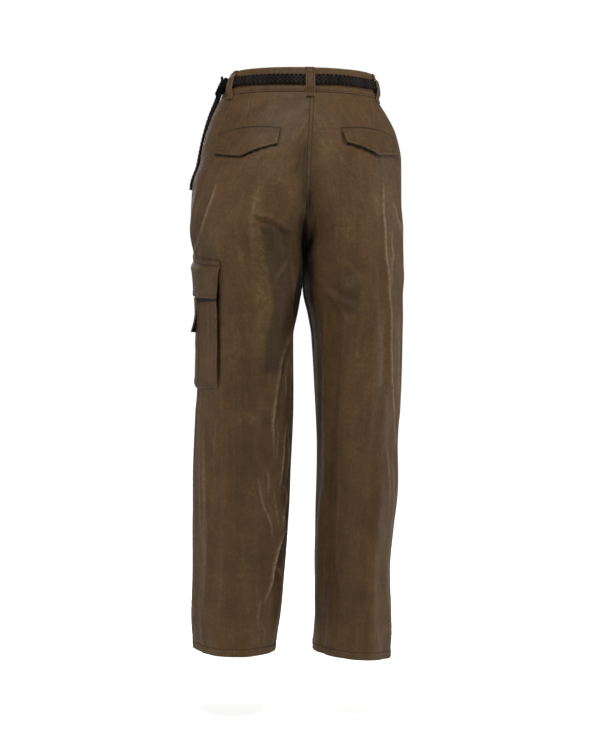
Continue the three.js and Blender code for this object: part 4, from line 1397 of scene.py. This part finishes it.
def add_back_flap(side):
    shape, place = table(BACK_FLAP), rows_of(BACK_FLAP_PLACES, side=side["name"])[0]
    even = np.ones(SOFT_OVER) / SOFT_OVER
    soft = np.convolve(np.interp(SOFT_ACROSS, shape["across"], shape["deep"]), even, "same")[4:-4]
    across, down = np.meshgrid(framed(BACK_FLAP_WIDTH, 2.6) / BACK_FLAP_WIDTH, framed(46, 2.4) / 46)
    deep = np.interp(across, SOFT_ACROSS[4:-4], soft) * place["deep"]
    drop, from_centre, lift = flap_at(shape, place, across, down, deep)
    below = down * deep
    free = np.minimum(np.minimum(across, 1 - across) * BACK_FLAP_WIDTH, deep - below)
    thick = turned_edge(free, 1.7, FLAP_HEM) - 0.9 * bell(below, 1.0)
    chalk = 0.3 * np.exp(-free / 1.1) * (0.5 + 0.5 * ripple(from_centre, 17))
    shade = bell(below, 1.9) + 0.3 * bell(free - FLAP_HEM, 1.0) + 0.25 * bell(below - FLAP_TOP[1], 0.8)
    # Painted shade along the flap's inner end.
    shade = np.clip(shade + 0.7 * bell(across * BACK_FLAP_WIDTH, 1.3), 0, 1)
    cloth = laid(side, drop, back_arc(side, drop) - from_centre, lift, thick, worn=chalk, seam=shade)
    build(f"back_flap_cloth_{side['name']}", [cloth], COTTON)
    across = np.linspace(0.05, 0.95, 60)
    deep = np.interp(across, SOFT_ACROSS[4:-4], soft) * place["deep"]
    for below in (deep - FLAP_HEM, *FLAP_TOP):
        drop, from_centre, lift = flap_at(shape, place, across, below / deep, deep)
        sew(side, drop, back_arc(side, drop) - from_centre, lift + 1.55)


for side in (LEFT, RIGHT):
    add_back_flap(side)

# ---------------------------------------------------------------- cargo pocket on the left leg

CARGO_ARC = 12
CARGO = {"top": 364, "bottom": 578, "deep": 214, "half": 79, "lift": 3.5, "stitch": 5.0}
REAR_OUT = (6, -2.5)  # how far the rear edge leans out, at its top and at its bottom
PLEAT = {"half": 16, "lift": 1.55}
UNDER_FLAP = (423.5, 420)  # drops between which the flap's shadow on the pocket comes in
CARGO_FLAP = {"top": 350, "deep": 68, "half_top": 108, "half_bottom": 86, "sewn": 9, "stand": 7}
TAB = {"half": 14, "top": 411.8, "deep": 64, "lift": 6.6, "flare": 6, "twist": 6}
TAB_PATCH = {"half": 12, "deep": 24, "inside": 2, "thick": 1.2}
BELLOWS = {"inset": 5.5, "width": 11}
FLAP_LINES = (2.9, 11.1)  # the cargo flap's stitches below its seam


def cargo_face_lift(u, drop):
    """How far the pocket's face stands off the leg: full in the middle, down on the leg along its bottom."""
    middle = np.sin(np.pi * smooth(0, 1, (drop - CARGO["top"]) / CARGO["deep"]))
    full = 1.2 * middle * (1 - (u / CARGO["half"]) ** 2)
    rear = 2.4 * smooth(56, CARGO["half"], u) * smooth(CARGO["bottom"], CARGO["bottom"] - 38, drop)
    bottom = smooth(0, 11, CARGO["bottom"] - drop)
    wave = 0.35 * ripple(drop + 0.3 * u, 61) * smooth(CARGO["half"], 50, np.abs(u))
    return mix(0.35, CARGO["lift"] + full + rear + wave, bottom)


def rear_out(drop):
    """How far the pocket's rear edge leans out behind a straight one."""
    return mix(*REAR_OUT, smooth(CARGO["top"], CARGO["bottom"], drop))


def add_cargo_pocket():
    half, stitch = CARGO["half"], CARGO["stitch"]
    u = framed(2 * half, 2.7) - half
    fold = PLEAT["half"] + np.array([-2, -1, -0.5, 0, 0.5, 1, 2])
    u = np.unique(np.r_[u[np.abs(np.abs(u) - PLEAT["half"]) > 2.4], -fold, fold])
    u, v = np.meshgrid(u, CARGO["top"] + framed(CARGO["deep"], 2.9))
    below = CARGO["bottom"] - v
    away = np.minimum(half - np.abs(u), below)
    rear = rear_out(v) * np.clip(u / half, 0, 1) ** 2
    beside = np.abs(u) - PLEAT["half"] - 0.9
    lift = cargo_face_lift(u, v) - 0.55 * bell(beside, 0.7)
    chalk = 0.25 * np.exp(-away / 1.2) + 0.1 * (1 + ripple(v, 40)) * bell(beside, 1.5)
    # Dark along the stitches and the bottom edge, painted shade beside the pleat's folds, and the flap's
    # painted shadow across the pocket's top.
    shade = 0.15 * bell(away - stitch, 0.8) + 0.5 * bell(beside, 0.8) + 0.4 * bell(below, 1.0)
    shade = np.clip(shade + smooth(*UNDER_FLAP, v), 0, 1)
    thick = turned_edge(away, 1.2, stitch)
    face = laid(LEFT, v, CARGO_ARC + u + rear, lift, thick, worn=chalk, seam=shade)
    over = framed(2 * PLEAT["half"], 2.6, EDGE_ROWS[:5], EDGE_ROWS[:5]) - PLEAT["half"]
    over, down = np.meshgrid(over, CARGO["top"] + framed(CARGO["deep"] - 1.5, 2.9))
    rolled = PLEAT["half"] - np.abs(over)
    lift = cargo_face_lift(over, down) + PLEAT["lift"] + 0.35 * smooth(0, 3, rolled) + 0.25 * ripple(down, 47)
    # The pleat carries the flap's painted shadow too.
    pleat = laid(LEFT, down, CARGO_ARC + over, lift, 1.1 * (1 - 0.5 * bell(rolled, 0.6)),
                 worn=0.3 * np.exp(-rolled / 0.9), seam=smooth(*UNDER_FLAP, down))
    build("cargo_pocket_face", [face, pleat], COTTON)
    bottom, edge = CARGO["bottom"] - stitch, half - stitch
    places = spaced(-edge, edge, 3)
    sew(LEFT, bottom, CARGO_ARC + places, cargo_face_lift(places, bottom) + 1.25)
    levels = spaced(CARGO["top"] + 20, bottom, 4)
    for u, out in ((-edge, 0), (edge, rear_out(levels))):
        sew(LEFT, levels, CARGO_ARC + u + out, cargo_face_lift(u, levels) + 1.25)


def add_cargo_bellows():
    """The folded strip between the pocket's face and the leg, round its sides and bottom."""
    half, top, bottom = CARGO["half"], CARGO["top"], CARGO["bottom"]
    count = len(spaced(top, bottom, 5))
    share = np.r_[np.zeros(count), np.linspace(0, 1, 34)[1:-1], np.ones(count)][:, None]
    level = np.r_[np.linspace(0, 1, count), np.ones(32), np.linspace(1, 0, count)][:, None]
    across = np.linspace(0, 1, 7)
    edge = BELLOWS["inset"] + BELLOWS["width"] * across
    u, drop = mix(edge - half, half - edge, share), mix(top, bottom - edge, level)
    lift = 0.5 + 0.35 * np.sin(np.pi * across)
    thick = 2.1 * (1 - 0.5 * np.abs(2 * across - 1) ** 4)
    # Built in the darker copy of the cloth, as painted shade in the slot under the pocket's edges.
    build("cargo_pocket_bellows", [laid(LEFT, drop, CARGO_ARC + u, lift, thick)], COTTON_SHADED)


def cargo_flap_place(share, level):
    """u and drop on the flap, from its front edge to its rear one and down from its seam."""
    half = mix(CARGO_FLAP["half_top"], CARGO_FLAP["half_bottom"], level / CARGO_FLAP["deep"])
    rise = mix(0.13, 0.085, level / CARGO_FLAP["deep"])
    u = half * (2 * share - 1)
    return u, CARGO_FLAP["top"] + level - rise * (half - u)


def cargo_flap_lift(u, level):
    off = smooth(CARGO_FLAP["sewn"], CARGO_FLAP["sewn"] + 12, level)
    wave = 0.5 * ripple(u + 0.5 * level, 58) + 0.25 * ripple(u - 0.8 * level, 27)
    return 0.8 + (CARGO_FLAP["stand"] - 0.8 + wave) * off


def add_cargo_flap():
    deep, wide = CARGO_FLAP["deep"], 2 * CARGO_FLAP["half_top"]
    seam_rows = np.array([0, 0.3, 0.9, 1.7, 2.4, 2.9, 3.4, 4.6, 6.5, 8, 9.5, 10.6, 11.1, 11.6, 12.5])
    share, level = np.meshgrid(framed(wide, 2.8) / wide, framed(deep, 2.5, seam_rows))
    u, drop = cargo_flap_place(share, level)
    half = mix(CARGO_FLAP["half_top"], CARGO_FLAP["half_bottom"], level / deep)
    free = np.minimum(half - np.abs(u), deep - level)
    upper, lower = (level - line for line in FLAP_LINES)
    sunk = 0.8 * bell(level, 0.9) + 0.45 * (bell(upper, 0.6) + bell(lower, 0.6))
    chalk = 0.3 * np.exp(-free / 1.1) * (0.6 + 0.4 * ripple(u + level, 19))
    shade = 0.7 * bell(level, 1.2) + 0.5 * bell(lower, 1.0) + 0.2 * bell(upper, 0.8)
    thick, lift = turned_edge(free, 1.7, 6.0) - sunk, cargo_flap_lift(u, level)
    shade = shade + 0.15 * bell(free - 6.0, 0.8)
    cloth = laid(LEFT, drop, CARGO_ARC + u, lift, thick, worn=chalk, seam=shade)
    build("cargo_pocket_flap", [cloth], COTTON)
    for line in (*FLAP_LINES, deep - 6.0):
        u, drop = cargo_flap_place(np.linspace(0.02, 0.98, 90), line)
        sew(LEFT, drop, CARGO_ARC + u, cargo_flap_lift(u, line) + 1.5)
    level = np.linspace(1.5, 12.5, 8)
    for inside in (2.4, 8.4):
        u, drop = cargo_flap_place(1 - inside / wide, level)
        sew(LEFT, drop, CARGO_ARC + u, cargo_flap_lift(u, level) + 1.6)


def tab_lift(drop, u):
    share = (drop - TAB["top"]) / TAB["deep"]
    return TAB["lift"] + share**2 * (TAB["flare"] + TAB["twist"] * u / TAB["half"])


def add_tab():
    """The tab that closes the flap, and the patch of hooks inside its end."""
    half, top, end = TAB["half"], TAB["top"], TAB["top"] + TAB["deep"]
    u, drop = np.meshgrid(framed(2 * half, 2.6) - half, top + framed(TAB["deep"], 2.6))
    away = np.minimum(half - np.abs(u), end - drop)
    cloth = laid(LEFT, drop, CARGO_ARC + u, tab_lift(drop, u), turned_edge(away, 1.7, 4.0),
                 worn=0.3 * np.exp(-away / 1.1), seam=0.2 * bell(away - 4.0, 0.8))
    build("cargo_tab_cloth", [cloth], COTTON)
    levels = spaced(top + 3, end - 4, 3)
    for u in (4 - half, half - 4):
        sew(LEFT, levels, CARGO_ARC + u, tab_lift(levels, u) + 1.55)
    end, thick = end - TAB_PATCH["inside"], TAB_PATCH["thick"]
    u, drop = np.meshgrid(np.linspace(-1, 1, 24) * TAB_PATCH["half"], spaced(end - TAB_PATCH["deep"], end, 1))
    hooks = laid(LEFT, drop, CARGO_ARC + u, tab_lift(drop, u) - 0.1 - thick, thick)
    build("cargo_tab_hooks", [hooks], FASTENER)


add_cargo_pocket()
add_cargo_bellows()
add_cargo_flap()
add_tab()

# ---------------------------------------------------------------- stitches

stitch_part = {"points": np.concatenate(stitch_points), "faces": np.concatenate(stitch_faces)}
stitches = build("stitches", [stitch_part], THREAD)

# ---------------------------------------------------------------- each piece in its CAD node's place

PIECES = """piece node slot held width length area
 back_panel_left back_left cloth hung 352 1016 0.85
 back_panel_right back_right cloth hung 340 1016 0.85
 front_panel_left front_left cloth hung 334 1016 0.85
 front_panel_right front_right cloth hung 320 1016 0.87
 pocket_facing_left front_pocket_left cloth stretched 56 182 0.65
 pocket_facing_right front_pocket_right cloth stretched 56 182 0.65
 fly fly_lap cloth stretched 10 172 0.98
 waistband_cloth waistband cloth stretched 830 45 0.93
 belt_loop_back loop_back cloth stretched 16 58 1
 belt_loop_left loop_left cloth stretched 16 58 1
 belt_loop_right loop_right cloth stretched 16 58 1
 belt_loop_front_left loop_front_left cloth stretched 16 58 1
 belt_loop_front_right loop_front_right cloth stretched 16 58 1
 back_flap_cloth_left back_flap_left cloth hung 130 54 0.85
 back_flap_cloth_right back_flap_right cloth hung 130 49 0.85
 cargo_pocket_face cargo_pocket cloth hung 190 214 1
 cargo_pocket_bellows cargo_bellows cloth folded 12 580 1
 cargo_pocket_flap cargo_flap cloth hung 206 68 0.92
 cargo_tab_cloth cargo_tab cloth hung 28 64 1
 cargo_tab_hooks cargo_tab_patch touch_fastener laid 24 24 1"""
BRAIDS = {"braided_belt": "belt", "belt_knot_braid": "belt_knot", "belt_hanging_end": "belt_tail"}

for row in rows_of(PIECES):
    piece = bpy.data.objects[row["piece"]]
    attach(piece, "root")
    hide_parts(row["node"])
for name, node in BRAIDS.items():
    piece = bpy.data.objects[name]
    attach(piece, "root")
    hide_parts(node)
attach(stitches, "root")

# ---------------------------------------------------------------- floor, light and camera

FLOOR_BELOW = 1158
FLOOR_SWEEP = (0.4, 2.2, 0.30, 1.0)  # metres away from, to; glow there
CAMERA_TURN = math.radians(172)
CAMERA_AWAY = 3300
CAMERA_DOWN = 531.5
CAMERA_LENS = 85.62
CAMERA_SHIFT = -2.5 / 750
FLOOR_HALF = 60  # metres
AROUND = 0.16  # how strongly the white room lights the garment


def floor_material():
    """A white sweep: pale paper under the garment that brightens to clear white away from it."""
    s = Shader("pale_floor")
    place = s.add("TexCoord").outputs["Object"]
    grain = s.ramp(s.noise(place, 60, 3, 0.6), 0.3, 0.7)
    s.link(s.colours(grain, FLOOR_PALE, FLOOR_GRAIN), "Base Color")
    away = s.add("VectorMath", {0: place}, operation="LENGTH").outputs["Value"]
    seen = s.add("LightPath").outputs["Is Camera Ray"]
    s.link(s.times(s.ramp(away, *FLOOR_SWEEP), seen), "Emission Strength")
    s.set(Roughness=0.9, Specular_IOR_Level=0.1, Emission_Color=(1, 1, 1, 1))
    return s.material


def add_floor():
    size = FLOOR_HALF
    mesh = bpy.data.meshes.new("floor")
    corners = [(-size, -size), (size, -size), (size, size), (-size, size)]
    mesh.from_pydata([(x, y, -FLOOR_BELOW * MM) for x, y in corners], [], [(0, 1, 2, 3)])
    mesh.materials.append(floor_material())
    floor = bpy.data.objects.new("floor", mesh)
    bpy.context.collection.objects.link(floor)


# Softboxes: turn is where each stands round the garment, as the camera's is. Sizes and places are in
# millimetres, and power in watts.
LIGHTS = """light turn away up aim wide high power
 key 173 2000 2150 -430 1000 650 84
 left 86 2300 -300 -700 900 1900 11
 gap 128 2300 -300 -650 500 1100 5
 right 260 2300 -400 -760 900 1700 30
 fill 0 3200 900 -600 2600 2400 50"""


def round_about(turn, away, up):
    """The place that stands so far away from the garment's middle, turned round it."""
    return Vector((math.sin(turn) * away, -math.cos(turn) * away, up)) * MM


def add_light(row):
    data = bpy.data.lights.new(f"softbox_{row['light']}", "AREA")
    data.shape, data.size, data.size_y = "RECTANGLE", row["wide"] * MM, row["high"] * MM
    data.energy = row["power"]
    light = bpy.data.objects.new(data.name, data)
    light.location = round_about(math.radians(row["turn"]), row["away"], row["up"])
    aim = Vector((0, 0, row["aim"] * MM)) - light.location
    light.rotation_euler = aim.to_track_quat("-Z", "Y").to_euler()
    bpy.context.collection.objects.link(light)


def add_world():
    """White to look at, and a soft even light on the garment."""
    world = bpy.data.worlds.new("studio")
    world.use_nodes = True
    nodes, links = world.node_tree.nodes, world.node_tree.links
    seen = nodes.new("ShaderNodeLightPath")
    strength = nodes.new("ShaderNodeMapRange")
    links.new(seen.outputs["Is Camera Ray"], strength.inputs["Value"])
    strength.inputs["To Min"].default_value = AROUND
    strength.inputs["To Max"].default_value = 1.0
    nodes["Background"].inputs["Color"].default_value = (1, 1, 1, 1)
    links.new(strength.outputs[0], nodes["Background"].inputs["Strength"])
    bpy.context.scene.world = world


add_floor()
for row in rows_of(LIGHTS):
    add_light(row)
add_world()

camera_data = bpy.data.cameras.new("camera")
camera_data.lens = CAMERA_LENS
camera_data.sensor_width = 36
camera_data.sensor_fit = "AUTO"
camera_data.shift_x = CAMERA_SHIFT
camera = bpy.data.objects.new("camera", camera_data)
camera.location = round_about(CAMERA_TURN, CAMERA_AWAY, -CAMERA_DOWN)
camera.rotation_euler = (math.pi / 2, 0, CAMERA_TURN)
bpy.context.collection.objects.link(camera)
scene = bpy.context.scene
scene.camera = camera
scene.view_settings.view_transform = "Standard"
